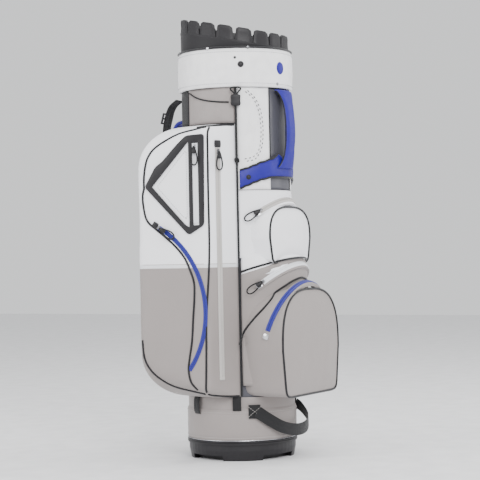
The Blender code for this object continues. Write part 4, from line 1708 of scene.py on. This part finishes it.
    def build_apparel_zip(self, outer: FlatFace, skin: Skin) -> None:
        """The long curved blue zip, an arc on the outer face.

        Args:
            outer: the outer face.
            skin: the surface to lay pieces on.
        """
        name = f"apparel_{self.side}"
        start = APPAREL_ARC[0]
        centre, radius = circle_through(*APPAREL_ARC)
        first = math.atan2(start.y - centre.y, start.x - centre.x)
        last = math.pi + math.asin((centre.y - 0.185) / radius)

        def arc(a: float) -> Vector:
            """The point of the zip at an angle."""
            return outer.at(centre.x + radius * math.cos(a), centre.y + radius * math.sin(a))

        route = [arc(first + (last - first) * i / 60) for i in range(61)]
        laid, _ = skin.lay(route, lambda _: -outer.out, 0.0002, 0.05)
        flat = level(laid, outer)
        tape = sweep(name + "_zip_tape", flat, [outer.out] * 61, tape_profile(0.0088), "blue_zip")
        deliver(tape, "blue_zip", replaces=(name + "_zip",))
        a = first + 0.02
        lift = 0.0006 + 0.0012 + 0.0017
        hub = outer.at(centre.x, centre.y, lift)
        place = arc(a) + outer.out * lift
        across = (place - hub).normalized()
        along = outer.out.cross(across)
        parts = ZipParts(name, along, across, outer.out)
        parts.slider(place)
        down = along if along.z < 0 else -along
        parts.pull(place + outer.out * PULL_LIFT, down)
        back = -down
        garage(name + "_zip_hood", place - outer.out * 0.0022 + back * 0.0125, back, outer.out,
               "black_plastic", (0.0120, 0.0120))

    def build_near_zip(self, near: FlatFace) -> None:
        """The long straight zip down the panel beside the seam, on the left pocket only.

        Args:
            near: the face beside the seam.
        """
        width, top, foot, high, low = 0.0118, 0.6200, 0.1700, 0.6200, 0.1700
        w = 0.0447
        line = [near.at(w, foot + (top - foot) * i / 60, 0.0004) for i in range(61)]
        tape = sweep("centre_left_zip_tape", line, [near.out] * 61, tape_profile(width), "grey_zip")
        deliver(tape, "grey_zip", replaces=("centre_left_zip",))
        centre = near.at(w, high - 0.008, 0.0035)
        parts = ZipParts("centre_left", UP, near.along, near.out)
        parts.slider(centre)
        parts.pull(centre + near.out * PULL_LIFT, -UP)
        garage("centre_zip_hood", near.at(w, high + 0.0075, 0.0012), UP, near.out, "black_plastic",
               (0.0140, 0.0150))
        garage("centre_zip_stop", near.at(w, low - 0.003, 0.0010), UP, near.out, "grey_zip",
               (0.0060, 0.0120))

    def build_valuables(self, outer: FlatFace, skin: Skin) -> None:
        """The moulded frame of the valuables pocket, its white windows, zip and window stitching.

        Args:
            outer: the outer face.
            skin: the surface to lay pieces on.
        """
        outline = [Vector(p) for p in ((0.0010, 0.6460), (0.0385, 0.6440), (0.0600, 0.6250),
                                       (0.0900, 0.5940), (0.1040, 0.5850), (0.1270, 0.5460),
                                       (0.0360, 0.4500), (0.0040, 0.4690))]
        window = [Vector(p) for p in ((0.0330, 0.6340), (0.1130, 0.5460), (0.0430, 0.4690),
                                      (0.0335, 0.4640))]
        slot = [Vector(p) for p in ((0.0265, 0.6340), (0.0265, 0.4680), (0.0130, 0.4680),
                                    (0.0130, 0.6340))]
        outer_ring = soften(outline, 0.0065, 6)
        frame_rim = extrude_ring("valuables_frame_outline", outer, outer_ring,
                                 [soften(window, 0.0022, 5), soften(slot, 0.002, 3)],
                                 "black_plastic")
        deliver(frame_rim, "black_plastic", replaces=("valuables_frame",))
        w, high, low = 0.0203, 0.6300, 0.4730
        line = [outer.at(w, low + (high - low) * i / 30, 0.0008) for i in range(31)]
        tape = sweep("valuables_zip_tape", line, [outer.out] * 31, tape_profile(0.0118),
                     "white_zip")
        deliver(tape, "white_zip", replaces=("valuables_zip",))
        centre = outer.at(w, high - 0.008, 0.0035)
        parts = ZipParts("valuables", UP, outer.along, outer.out)
        parts.slider(centre, "bright_metal")
        parts.pull(centre + outer.out * PULL_LIFT, -UP)
        garage("valuables_zip_hood", outer.at(w, high + 0.0060, 0.0018), UP, outer.out,
               "black_plastic", (0.0140, 0.0125))
        inset = [Vector(p) for p in ((0.0390, 0.6160), (0.1020, 0.5460), (0.0450, 0.4830),
                                     (0.0390, 0.4830))]
        ring = soften(inset, 0.005, 5)
        laid, ups = skin.lay([outer.at(p.x, p.y) for p in ring + ring[:1]], lambda _: -outer.out,
                             0.0003, 0.05)
        deliver(stitches("valuables_window_stitch", laid, ups, "stitch_thread"), "stitch_thread")

    def build(self) -> None:
        """Build the pocket with its seams and zips."""
        skin = Skin(self.build_wall())
        near = FlatFace(SEAM, FRONT_EDGE, self.right)
        outer = FlatFace(FRONT_EDGE, REAR_EDGE, self.right)
        self.build_piping(near, outer, skin)
        self.build_apparel_zip(outer, skin)
        if not self.right:
            self.build_near_zip(near)
            self.build_valuables(outer, skin)


def level(route: Route, face: FlatFace) -> Route:
    """Move each point to just off the flat face, so that a slider can pass over it.

    Args:
        route: the points on the fabric.
        face: the flat face.

    Returns:
        The moved points.
    """
    result = []
    for point in route:
        height = (point - face.start).dot(face.out)
        result.append(point + face.out * (0.0004 - height))
    return result


def circle_through(p: Vector, q: Vector, r: Vector) -> tuple[Vector, float]:
    """The centre and radius of the circle through three plane points.

    Args:
        p: the first point.
        q: the second point.
        r: the third point.

    Returns:
        The centre and the radius.
    """
    a, b = q - p, r - p
    d = 2 * (a.x * b.y - a.y * b.x)
    centre = p + Vector(((b.y * a.length_squared - a.y * b.length_squared) / d,
                         (a.x * b.length_squared - b.x * a.length_squared) / d))
    return centre, (p - centre).length


def soften(corners: Sequence[Vector], radius: float, steps: int) -> list[Vector]:
    """A closed plane outline with its corners rounded.

    Args:
        corners: the outline's corners.
        radius: how far from each corner the rounding begins.
        steps: how many steps each corner takes.

    Returns:
        The points of the rounded outline.
    """
    result = []
    for i, here in enumerate(corners):
        a = here + (corners[i - 1] - here).normalized() * radius
        b = here + (corners[(i + 1) % len(corners)] - here).normalized() * radius
        result += [(1 - t)**2 * a + 2 * t * (1 - t) * here + t * t * b
                   for t in (k / steps for k in range(steps + 1))]
    return result


def extrude_ring(name: str, face: FlatFace, outline: Sequence[Vector],
                 holes: Sequence[Sequence[Vector]], finish: str) -> bpy.types.Object:
    """A flat frame with holes and bevelled edges, standing on a flat face.

    Args:
        name: the object's name.
        face: the face that it stands on.
        outline: its outer edge, as distances along the face and heights.
        holes: the edges of its holes.
        finish: its finish.

    Returns:
        The object.
    """
    data = bpy.data.curves.new(name, "CURVE")
    data.dimensions = "2D"
    data.fill_mode = "BOTH"
    data.extrude = 0.0009
    data.bevel_depth = 0.0006
    data.bevel_resolution = 2
    for ring in (outline, *holes):
        spline = data.splines.new("POLY")
        spline.points.add(len(ring) - 1)
        for slot, point in zip(spline.points, ring):
            slot.co = (point.x, point.y, 0, 1)
        spline.use_cyclic_u = True
    temp = bpy.data.objects.new(name + "_curve", data)
    bpy.context.scene.collection.objects.link(temp)
    mesh = bpy.data.meshes.new_from_object(temp.evaluated_get(
        bpy.context.evaluated_depsgraph_get()))
    bpy.data.objects.remove(temp)
    points = [face.at(v.co.x, v.co.y, 0.0018 + v.co.z) for v in mesh.vertices]
    faces = [tuple(p.vertices) for p in mesh.polygons]
    made = make(name, points, faces, finish)
    tidy = bmesh.new()
    tidy.from_mesh(made.data)
    bmesh.ops.remove_doubles(tidy, verts=tidy.verts, dist=1e-6)
    bmesh.ops.recalc_face_normals(tidy, faces=tidy.faces)
    tidy.to_mesh(made.data)
    tidy.free()
    return made


# ------------------------------------------------------------------------------ front pockets


@dataclass(frozen=True)
class Arc:
    """The tilted circle that a curved zip follows."""

    crown: Vector
    end: Vector
    reach: float
    side: int = -1

    @property
    def fall(self) -> Vector:
        """The direction from the crown to the circle's centre."""
        return (Vector((self.crown.x, self.end.y, self.end.z)) - self.crown).normalized()

    @property
    def radius(self) -> float:
        """The circle's radius.

        Returns:
            The radius.
        """
        half = abs(self.end.x - self.crown.x)
        depth = (Vector((self.crown.x, self.end.y, self.end.z)) - self.crown).length
        return (half**2 + depth**2) / (2 * depth)

    @property
    def centre(self) -> Vector:
        """The circle's centre."""
        return self.crown + self.fall * self.radius

    @property
    def normal(self) -> Vector:
        """The circle's axis."""
        return SIDE.cross(-self.fall).normalized()

    def radial(self, turn: float) -> Vector:
        """The outward direction at an angle from the crown."""
        return SIDE * math.sin(turn) - self.fall * math.cos(turn)

    def route(self, lift: float, extra: float = 0.0, count: int = 72) -> tuple[Route, Route]:
        """Points and outward directions along the zip, a distance outside its circle.

        Args:
            lift: how far outside the circle.
            extra: how much further each end goes, in radians.
            count: how many steps.

        Returns:
            The points, and the outward direction at each.
        """
        span = math.radians(self.reach) + extra
        outs = [self.radial(-span + 2 * span * i / count) for i in range(count + 1)]
        return [self.centre + out * (self.radius + lift) for out in outs], outs

    def press(self, point: Vector) -> Vector:
        """Push a point of the fabric down where the zip runs over it.

        Args:
            point: the point, before.

        Returns:
            The point, on or below the zip's bed near the zip.
        """
        offset = point - self.centre
        across = offset.dot(self.normal)
        flat = offset - self.normal * across
        turn = math.atan2(flat.dot(SIDE), -flat.dot(self.fall))
        if abs(turn) > math.radians(self.reach) + 0.28 or flat.length < self.radius * 0.5:
            return point
        near = max(0.0, 1 - max(0.0, abs(across) - 0.0052) / 0.008)
        weight = near * near * (3 - 2 * near)
        height = flat.length - self.radius
        if height <= -0.0026 or weight <= 0 or height > 0.03:
            return point
        return point + flat.normalized() * ((-0.0026 - height) * weight)


@dataclass(frozen=True)
class Outline:
    """A pocket outline in an upright plane: a round top on straight sides."""

    y: float
    half: float
    low: float
    crown: float
    shoulder: float
    square: float = 2.8

    def blend(self, other: "Outline", share: float) -> "Outline":
        """The outline part of the way to another.

        Args:
            other: the outline at the far end.
            share: how far along, from 0 to 1.

        Returns:
            The outline in between.
        """
        return Outline(*(a + (b - a) * share for a, b in
                         ((getattr(self, k), getattr(other, k))
                          for k in ("y", "half", "low", "crown", "shoulder"))))

    def points(self, inset: float, count: int) -> Route:
        """Evenly spaced points round the outline, from the middle of its foot.

        Args:
            inset: how far inside the outline.
            count: the number of points.

        Returns:
            The points.
        """
        half, low = self.half - inset, self.low + inset
        foot = half * 0.92
        raw = [Vector((0, self.y, low)), Vector((-foot + 0.022, self.y, low)),
               Vector((-foot + 0.010, self.y, low + 0.0018)), Vector((-foot + 0.003, self.y,
                       low + 0.007)),
               Vector((-foot, self.y, low + 0.018))]
        rise = self.crown - inset - self.shoulder
        for i in range(37):
            a = math.radians(90 * (1 - i / 36))
            raw.append(Vector((-half * math.sin(a) ** (2 / self.square), self.y,
                               self.shoulder + rise * math.cos(a) ** (2 / self.square))))
        raw[5:5] = [raw[4].lerp(raw[5], k / 4) for k in (1, 2, 3)]
        line = raw + [Vector((-p.x, p.y, p.z)) for p in reversed(raw[1:-1])] + [raw[0]]
        return evenly(line, sum((b - a).length for a, b in zip(line, line[1:])) / count)[:-1]


@dataclass
class DomePocket:
    """A front pocket with a gusset, a piped front panel and a zip over its top."""

    name: str
    back: Outline
    front: Outline
    crown: float
    fabric: str
    gusset: str
    arc: Arc
    count: int = 150

    def build(self) -> bpy.types.Object:
        """The pocket's cover: gusset, rounded edge and softly crowned panel.

        Returns:
            The cover.
        """
        rings: list[Route] = []
        gusset_rows = 20
        for i in range(gusset_rows):
            share = 0.955 * i / (gusset_rows - 1)
            rings.append(self.back.blend(self.front, share).points(0.0, self.count))
        for turn in (25, 50, 75, 90):
            a = math.radians(turn)
            share = 0.955 + 0.045 * math.sin(a)
            rings.append(self.back.blend(self.front, share).points(
                0.0045 * (1 - math.cos(a)), self.count))
        edge = rings[-1]
        middle = sum(edge, Vector()) / len(edge)
        for k in range(1, 15):
            scale = 1 - k / 15
            push = self.crown * 1.7 * math.sin(math.pi / 2 * min(1.0, k / 9))
            rings.append([middle + (p - middle) * scale - Vector((0, push, 0)) for p in edge])
        points: Route = []
        for i, ring in enumerate(rings):
            for p in ring:
                soft = wrinkle(p, 0.0011, 19.0, 3.0 + self.front.y * 50)
                out = (p - middle).normalized() if i < gusset_rows + 2 else Vector((0, -1, 0))
                edge_calm = 0.15 if gusset_rows - 1 <= i <= gusset_rows + 4 else 1.0
                points.append(self.arc.press(p + out * soft * edge_calm))
        points.append(middle - Vector((0, self.crown * 1.7, 0)))
        n, rows = self.count, len(rings)
        faces = [(i * n + k, i * n + (k + 1) % n, (i + 1) * n + (k + 1) % n, (i + 1) * n + k)
                 for i in range(rows - 1) for k in range(n)]
        faces += [((rows - 1) * n + k, (rows - 1) * n + (k + 1) % n, rows * n) for k in range(n)]
        faces.append(tuple(range(n)))
        node = f"front_{self.name}_pocket"
        cover = make(node + "_cover", points, faces, self.gusset, self.fabric,
                     choose=lambda f: 0 if f < (gusset_rows + 1) * n else 1)
        deliver(cover, self.fabric, replaces=(node,))
        rim = self.back.blend(self.front, 0.992).points(0.0006, self.count)
        piping(node + "_piping", [p + Vector((0, -0.0006, 0)) for p in rim], closed=True)
        return cover


@dataclass
class FrontPockets:
    """The three pockets on the front, with their curved zips."""

    upper_arc: Arc = Arc(Vector((0, -0.1190, 0.5190)), Vector((0.0743, -0.0810, 0.4870)), 58)
    middle_arc: Arc = Arc(Vector((0, -0.1440, 0.3900)), Vector((0.0884, -0.0880, 0.3430)), 68)
    lower_arc: Arc = Arc(Vector((0, -0.1570, 0.3550)), Vector((0.1090, -0.1120, 0.2230)), 84, 1)

    def build_middle(self) -> bpy.types.Object:
        """The band between the other two, half an ellipse in plan with a sloping top.

        Returns:
            The cover.
        """
        count, rows = 72, 46
        points: Route = []
        for i in range(rows):
            for k in range(count + 1):
                a = math.pi * k / count
                top = 0.379 + 0.026 * math.sin(a)
                start = 0.150
                over = 8
                if i < rows - over:
                    z, inset = start + (top - 0.012 - start) * i / (rows - over - 1), 0.0
                else:
                    b = math.radians(90 * (i - rows + over + 1) / over)
                    z, inset = top - 0.012 * (1 - math.sin(b)), 0.036 * (1 - math.cos(b))
                wide, deep = 0.0940 - inset, 0.0860 - inset
                p = Vector((wide * math.cos(a), -0.0575 - deep * math.sin(a), z))
                soft = wrinkle(p, 0.0011, 21.0, 8.0)
                p += Vector((math.cos(a), -math.sin(a), 0)) * soft
                points.append(self.middle_arc.press(p))
        faces = grid_faces(rows - 1, count)
        cover = make("front_middle_pocket_cover", points, faces, "grey_fabric")
        face_out(cover)
        thicken(cover, 0.0014)
        deliver(cover, "grey_fabric", replaces=("front_middle_pocket",))
        seam = [Vector((0.0925 * math.cos(a), -0.0575 - 0.0845 * math.sin(a),
                        0.3795 + 0.026 * math.sin(a) - 0.0045))
                for a in (math.pi * k / 60 for k in range(61))]
        piping("front_middle_top_piping", seam)
        return cover

    def build_skirt(self) -> None:
        """The white cloth between the upper pocket and the top seam of the middle one."""
        points: Route = []
        for z in (0.370, 0.382, 0.394, 0.404, 0.411, 0.4160, 0.4185, 0.4195):
            inset = 0.0016 + 0.034 * max(0.0, (z - 0.400) / 0.0195) ** 2
            for k in range(61):
                a = math.pi * k / 60
                wide, deep = 0.0940 - inset, 0.0860 - inset - 0.020 * max(0.0, (z - 0.385) / 0.0345)
                points.append(Vector((wide * math.cos(a), -0.0575 - deep * math.sin(a), z)))
        faces = grid_faces(7, 60)
        skirt = make("front_upper_skirt", points, faces, "white_fabric")
        face_out(skirt)
        thicken(skirt, 0.0014)
        deliver(skirt, "white_fabric")

    def build_zip(self, name: str, arc: Arc, finish: str, ends: str, bed: str) -> None:
        """One curved zip: its bed, its tape, end covers, slider and pull.

        Args:
            name: the zip's name.
            arc: the circle that it follows.
            finish: the tape's finish.
            ends: the end covers' finish.
            bed: the finish of the cloth under the tape.
        """
        route, outs = arc.route(-0.0050, 0.16)
        base = [(0.0090, -0.0040), (0.0088, 0.0022), (0.0078, 0.0030), (-0.0078, 0.0030),
                (-0.0088, 0.0022), (-0.0090, -0.0040)]
        strip = sweep(f"front_{name}_zip_bed", route, outs, base, bed)
        deliver(strip, bed)
        route, outs = arc.route(-0.0018)
        outline = [(a, b * 1.6) for a, b in tape_profile(0.0104)]
        tape = sweep(f"front_{name}_zip_tape", route, outs, outline, finish)
        deliver(tape, finish, replaces=(f"front_{name}_zip",))
        out = arc.radial(arc.side * math.radians(arc.reach))
        along = arc.normal.cross(out)
        place = arc.centre + out * (arc.radius + 0.0016 + GAP + SLIDER_HALF)
        parts = ZipParts(f"front_{name}", along, arc.normal, out)
        parts.slider(place)
        parts.pull(place + out * (SLIDER_HALF + GAP + PULL_RADIUS),
                   along if along.z < 0 else -along)
        for side, word in ((-1, "near"), (1, "far")):
            spot = arc.radial(side * (math.radians(arc.reach) + 0.105))
            garage(f"front_{name}_zip_{word}_end", arc.centre + spot * (arc.radius - 0.0012),
                   arc.normal.cross(spot), spot, ends, (0.0110, 0.0120))

    def build(self) -> None:
        """Build the pockets, from the top down."""
        DomePocket("upper", Outline(-0.072, 0.080, 0.392, 0.525, 0.440),
                   Outline(-0.120, 0.085, 0.390, 0.503, 0.440), 0.003, "white_fabric",
                   "white_fabric", self.upper_arc).build()
        middle = self.build_middle()
        self.build_skirt()
        lower = DomePocket("lower", Outline(-0.0575, 0.0930, 0.1280, 0.3520, 0.2300),
                   Outline(-0.163, 0.1200, 0.1290, 0.3390, 0.2200), 0.004, "grey_fabric",
                   "grey_fabric", self.lower_arc, 190).build()
        self.build_zip("upper", self.upper_arc, "grey_zip", "bright_metal", "white_fabric")
        self.build_zip("middle", self.middle_arc, "white_zip", "bright_metal", "grey_fabric")
        self.build_zip("lower", self.lower_arc, "blue_zip", "bright_metal", "grey_fabric")
        skin = Skin(middle, lower)
        left = [polar(0.125, a, z) for a, z in ((209, 0.232), (212, 0.250), (217.2, 0.2681),
                                                (226.7, 0.296), (239.3, 0.3298), (252, 0.3485),
                                                (261, 0.3570), (270, 0.3608))]
        line = curve_through(left + list(reversed(mirror(left[:-1]))), 0.005)
        laid, _ = skin.lay(line, to_axis, 0.0006)
        piping("front_lower_back_piping", laid)


# ------------------------------------------------------------------------------ straps


@dataclass
class RearHandle:
    """The lifting handle on the back, a padded blue loop."""

    def build(self) -> None:
        """Build the handle with its stitched anchors."""
        x = 0.010
        line = curve_through([Vector((x, y, z)) for y, z in (
            (0.1118, 0.6900), (0.1400, 0.6840), (0.1520, 0.6600), (0.1540, 0.6200), (0.1500,
                    0.5850),
            (0.1380, 0.5620), (0.1118, 0.5560))], 0.004)
        outlines = []
        ups = []
        for i, along in enumerate(tangents(line)):
            share = i / (len(line) - 1)
            body = math.sin(math.pi * min(1.0, max(0.0, share)))
            outlines.append(soft_box(0.0295, 0.0058 + 0.0040 * body, 0.0026 + 0.0016 * body, 4))
            ups.append(along.cross(SIDE))
        handle = sweep("rear_handle_cover", line, ups, outlines, "blue_leather")
        deliver(handle, "blue_leather", replaces=("rear_handle",))
        for side in (-1, 1):
            thread = [p + SIDE * side * 0.0100 + up * -0.0050 for p, up in zip(line, ups)][3:-3]
            deliver(stitches(f"rear_handle_stitch_{side_word(side)}", thread,
                             [-u for u in ups[3:-3]], "stitch_thread"), "stitch_thread")
        for z in (0.6930, 0.5530):
            patch = [Vector((x, 0.1108, z + d)) for d in (-0.013, -0.007, 0.0, 0.007, 0.013)]
            deliver(sweep(f"rear_handle_patch_{round(z * 1000)}", patch, Vector((0, 1, 0)),
                          soft_box(0.0340, 0.0034, 0.0014, 3), "blue_leather"), "blue_leather")


@dataclass
class ShoulderStrap:
    """The shoulder strap down the back: webbing, a padded middle and two buckles."""

    def build_web(self, name: str, line: Route, node: str) -> None:
        """One length of webbing.

        Args:
            name: the object's name.
            line: the points it follows.
            node: the CAD node's name.
        """
        ups = [along.cross(SIDE) for along in tangents(line)]
        deliver(sweep(name, line, ups, webbing_profile(0.0290, 0.0026), "black_webbing"),
                "black_webbing", replaces=(node,))

    def build_pad(self) -> None:
        """The pad: a cushion with a stitched border and a ribbed middle."""
        line = curve_through([Vector((-0.047, y, z)) for y, z in (
            (0.1405, 0.6490), (0.1460, 0.6100), (0.1470, 0.5600), (0.1430, 0.5000))], 0.0030)
        count = len(line)
        ups = [along.cross(SIDE) for along in tangents(line)]
        outlines = []
        for i in range(count):
            near = min(i, count - 1 - i) / 6
            end = math.sqrt(max(0.03, 1 - max(0.0, 1 - near) ** 2))
            rib = 1 + 0.07 * math.sin(i * 0.95) * min(1.0, near / 2)
            width, height = 0.0430 * (0.72 + 0.28 * end), 0.0094 * (0.40 + 0.60 * end)
            half: list[tuple[float, float]] = []
            for k in range(28):
                a = math.tau * k / 28
                u, v = math.cos(a), math.sin(a)
                bulge = abs(v) ** 0.55 * (1 if v >= 0 else -1)
                dent = 1 - 0.28 * math.exp(-((abs(u) - 0.80) / 0.05) ** 2)
                half.append((width / 2 * abs(u) ** 0.7 * (1 if u >= 0 else -1),
                             height / 2 * bulge * dent * rib))
            outlines.append(half)
        pad = sweep("shoulder_pad_cover", line, ups, outlines, "black_fabric")
        deliver(pad, "black_fabric", replaces=("shoulder_pad",))

    def build_buckle(self, name: str, place: Vector, along: Vector) -> None:
        """A three-bar slide buckle over the webbing.

        Args:
            name: the object's name.
            place: where it stands.
            along: the direction of the webbing.
        """
        out = along.cross(SIDE).normalized()
        if out.y < 0:
            out = -out
        bars = []
        for step in (-0.0100, 0.0, 0.0100):
            line = [place + along * step + out * 0.0032 + SIDE * s for s in
                    (-0.0185, -0.0120, 0.0, 0.0120, 0.0185)]
            bars.append(sweep_mesh(line, [out] * 5, [round_profile(0.0017, 8)]))
        for side in (-1, 1):
            line = [place + along * step + out * 0.0030 + SIDE * side * 0.0175 for step in
                    (-0.0115, -0.0060, 0.0, 0.0060, 0.0115)]
            bars.append(sweep_mesh(line, [out] * 5, [soft_box(0.0036, 0.0040, 0.0012, 2)]))
        deliver(merge(name, bars, "black_plastic"), "black_plastic")

    def build(self) -> None:
        """Build the strap from its top anchor to its lower one."""
        upper = curve_through([Vector(p) for p in ((-0.045, 0.1075, 0.728), (-0.046, 0.125, 0.714),
                                                   (-0.047, 0.136, 0.684), (-0.047, 0.140, 0.650))])
        lower = curve_through([Vector(p) for p in ((-0.047, 0.1428, 0.499), (-0.046, 0.136, 0.450),
                                                   (-0.045, 0.127, 0.418), (-0.045, 0.111, 0.404))])
        self.build_web("strap_web_upper_cover", upper, "strap_web_upper")
        self.build_web("strap_web_lower_cover", lower, "strap_web_lower")
        self.build_pad()
        middle = len(lower) // 2
        self.build_buckle("strap_buckle_lower", lower[middle], tangents(lower)[middle])
        middle = len(upper) // 2
        self.build_buckle("strap_buckle_upper", upper[middle], tangents(upper)[middle])


@dataclass
class Bungee:
    """The elastic cord round the neck, its hanging tail, the lock and the knot."""

    angle: float = 210.0

    def build(self) -> None:
        """Build the cord, the tail, the lock on its own body, and the knot."""
        line = curve_through([polar(0.1118, a, z) for a, z in (
            (154, 0.7345), (165, 0.7240), (178, 0.7165), (192, 0.7125), (203, 0.7110))], 0.0030)
        cord = sweep("bungee_cord_cover", line, UP, round_profile(0.0016, 10), "black_cord")
        deliver(cord, "black_cord", replaces=("bungee_cord",))
        place = polar(0.1145, self.angle)
        tail = [place + UP * (0.600 + 0.138 * i / 46) for i in range(47)]
        outlines = [round_profile(0.0020 * (1 + 0.05 * (i % 2)), 10) for i in range(47)]
        hanging = sweep("bungee_tail_cover", tail, polar(1, self.angle), outlines, "black_cord")
        deliver(hanging, "black_cord", replaces=("bungee_tail",))
        out = polar(1, self.angle)
        wide = ((0.703, 0.0130), (0.7045, 0.0180), (0.708, 0.0200), (0.712, 0.0188), (0.718,
                0.0188),
                (0.722, 0.0200), (0.7245, 0.0180), (0.7255, 0.0130))
        meshes = [sweep_mesh([place + UP * z for z, _ in wide], [out] * len(wide),
                             [soft_box(w, 0.0098 * (w / 0.02) ** 0.5, 0.0030, 3) for _, w in wide])]
        button = [place + UP * z for z in (0.7255, 0.7275, 0.7285)]
        meshes.append(sweep_mesh(button, [out] * 3, [soft_box(0.0090, 0.0060, 0.0020, 3)]))
        deliver(merge("cord_lock_body", meshes, "black_plastic"), "black_plastic", "cord_lock",
                ("cord_lock",))
        knot: Route = []
        for i in range(60):
            a = math.tau * i / 60
            knot.append(place + UP * (0.5955 + 0.0032 * math.sin(3 * a))
                        + out.cross(UP) * (math.sin(a) + 2 * math.sin(2 * a)) * 0.0014
                        + out * (math.cos(a) - 2 * math.cos(2 * a)) * 0.0014)
        tied = sweep("bungee_knot_cover", knot, UP, round_profile(0.0017, 8), "black_cord",
                     closed=True)
        deliver(tied, "black_cord", replaces=("bungee_knot",))
        loop = self.build_loop()

    def build_loop(self) -> bpy.types.Object:
        """The drop-shaped loop of the cord between the collar and the lock.

        Returns:
            The loop.
        """
        out = polar(1, self.angle)
        side = out.cross(UP)
        shape = curve_through([polar(0.1170, self.angle, z) + side * a for a, z in (
            (-0.0012, 0.7270), (-0.0060, 0.7310), (-0.0105, 0.7370), (-0.0060, 0.7392), (0.0,
                    0.7396),
            (0.0060, 0.7392), (0.0105, 0.7370), (0.0060, 0.7310), (0.0012, 0.7270))], 0.0020)
        loop = sweep("bungee_loop", shape, out, round_profile(0.0016, 8), "black_cord")
        return deliver(loop, "black_cord")


# ------------------------------------------------------------------------------ studio


@dataclass
class Studio:
    """A plain pale room: the floor, large soft lights, and the camera."""

    distance: float = 3.14
    azimuth: float = -60.0
    eye: float = 0.4165
    roll: float = -1.2
    lens: float = 115.0
    shift: tuple[float, float] = (0.0025, 0.0229)

    def build_floor(self) -> None:
        """A wide seamless floor, not attached to any of the bag's bodies."""
        floor = make("studio_floor", [Vector((x, y, 0)) for x, y in
                                      ((-6, -6), (6, -6), (6, 6), (-6, 6))], [(0, 1, 2, 3)],
                     "studio_white", smooth=False)

    def build_light(self, name: str, place: Vector, power: float, size: float) -> None:
        """One square area light aimed at the middle of the bag.

        Args:
            name: the object's name.
            place: where it stands.
            power: its power, in watts.
            size: its side's length.
        """
        data = bpy.data.lights.new(name, "AREA")
        data.energy, data.size = power, size
        light = bpy.data.objects.new(name, data)
        light.location = place
        light.rotation_euler = (Vector((0, 0, 0.45)) - place).to_track_quat("-Z", "Y").to_euler()
        bpy.context.scene.collection.objects.link(light)

    def build_camera(self) -> None:
        """The camera, level and a little rolled."""
        data = bpy.data.cameras.new("camera")
        data.lens, data.sensor_width = self.lens, 36.0
        data.shift_x, data.shift_y = self.shift
        camera = bpy.data.objects.new("camera", data)
        turn = math.radians(self.azimuth)
        place = Vector((math.sin(turn), -math.cos(turn), 0)) * self.distance + UP * self.eye
        spin = (Matrix.Rotation(turn, 4, "Z") @ Matrix.Rotation(math.pi / 2, 4, "X")
                @ Matrix.Rotation(math.radians(self.roll), 4, "Z"))
        camera.matrix_world = Matrix.Translation(place) @ spin
        bpy.context.scene.collection.objects.link(camera)
        bpy.context.scene.camera = camera

    def build(self) -> None:
        """Build the room."""
        self.build_floor()
        self.build_light("key", Vector((-2.6, -2.4, 2.3)), 130, 2.0)
        self.build_light("side", Vector((-2.8, 1.8, 1.4)), 48, 1.8)
        self.build_light("top", Vector((0.2, -0.2, 3.0)), 55, 2.4)
        self.build_light("right", Vector((1.8, -2.6, 1.2)), 38, 1.6)
        world = bpy.data.worlds.new("studio")
        world.use_nodes = True
        back = world.node_tree.nodes["Background"]
        back.inputs["Color"].default_value = (0.93, 0.94, 0.95, 1.0)
        back.inputs["Strength"].default_value = 1.05
        bpy.context.scene.world = world
        self.build_camera()


def main() -> None:
    """Build every sub-assembly and the studio."""
    Base().build()
    Organiser().build()
    Collar().build()
    Neck().build()
    FrontHandle().build()
    SidePocket().build()
    SidePocket(right=True).build()
    FrontPockets().build()
    RearHandle().build()
    ShoulderStrap().build()
    Bungee().build()
    Studio().build()


if __name__ == "__main__":
    main()
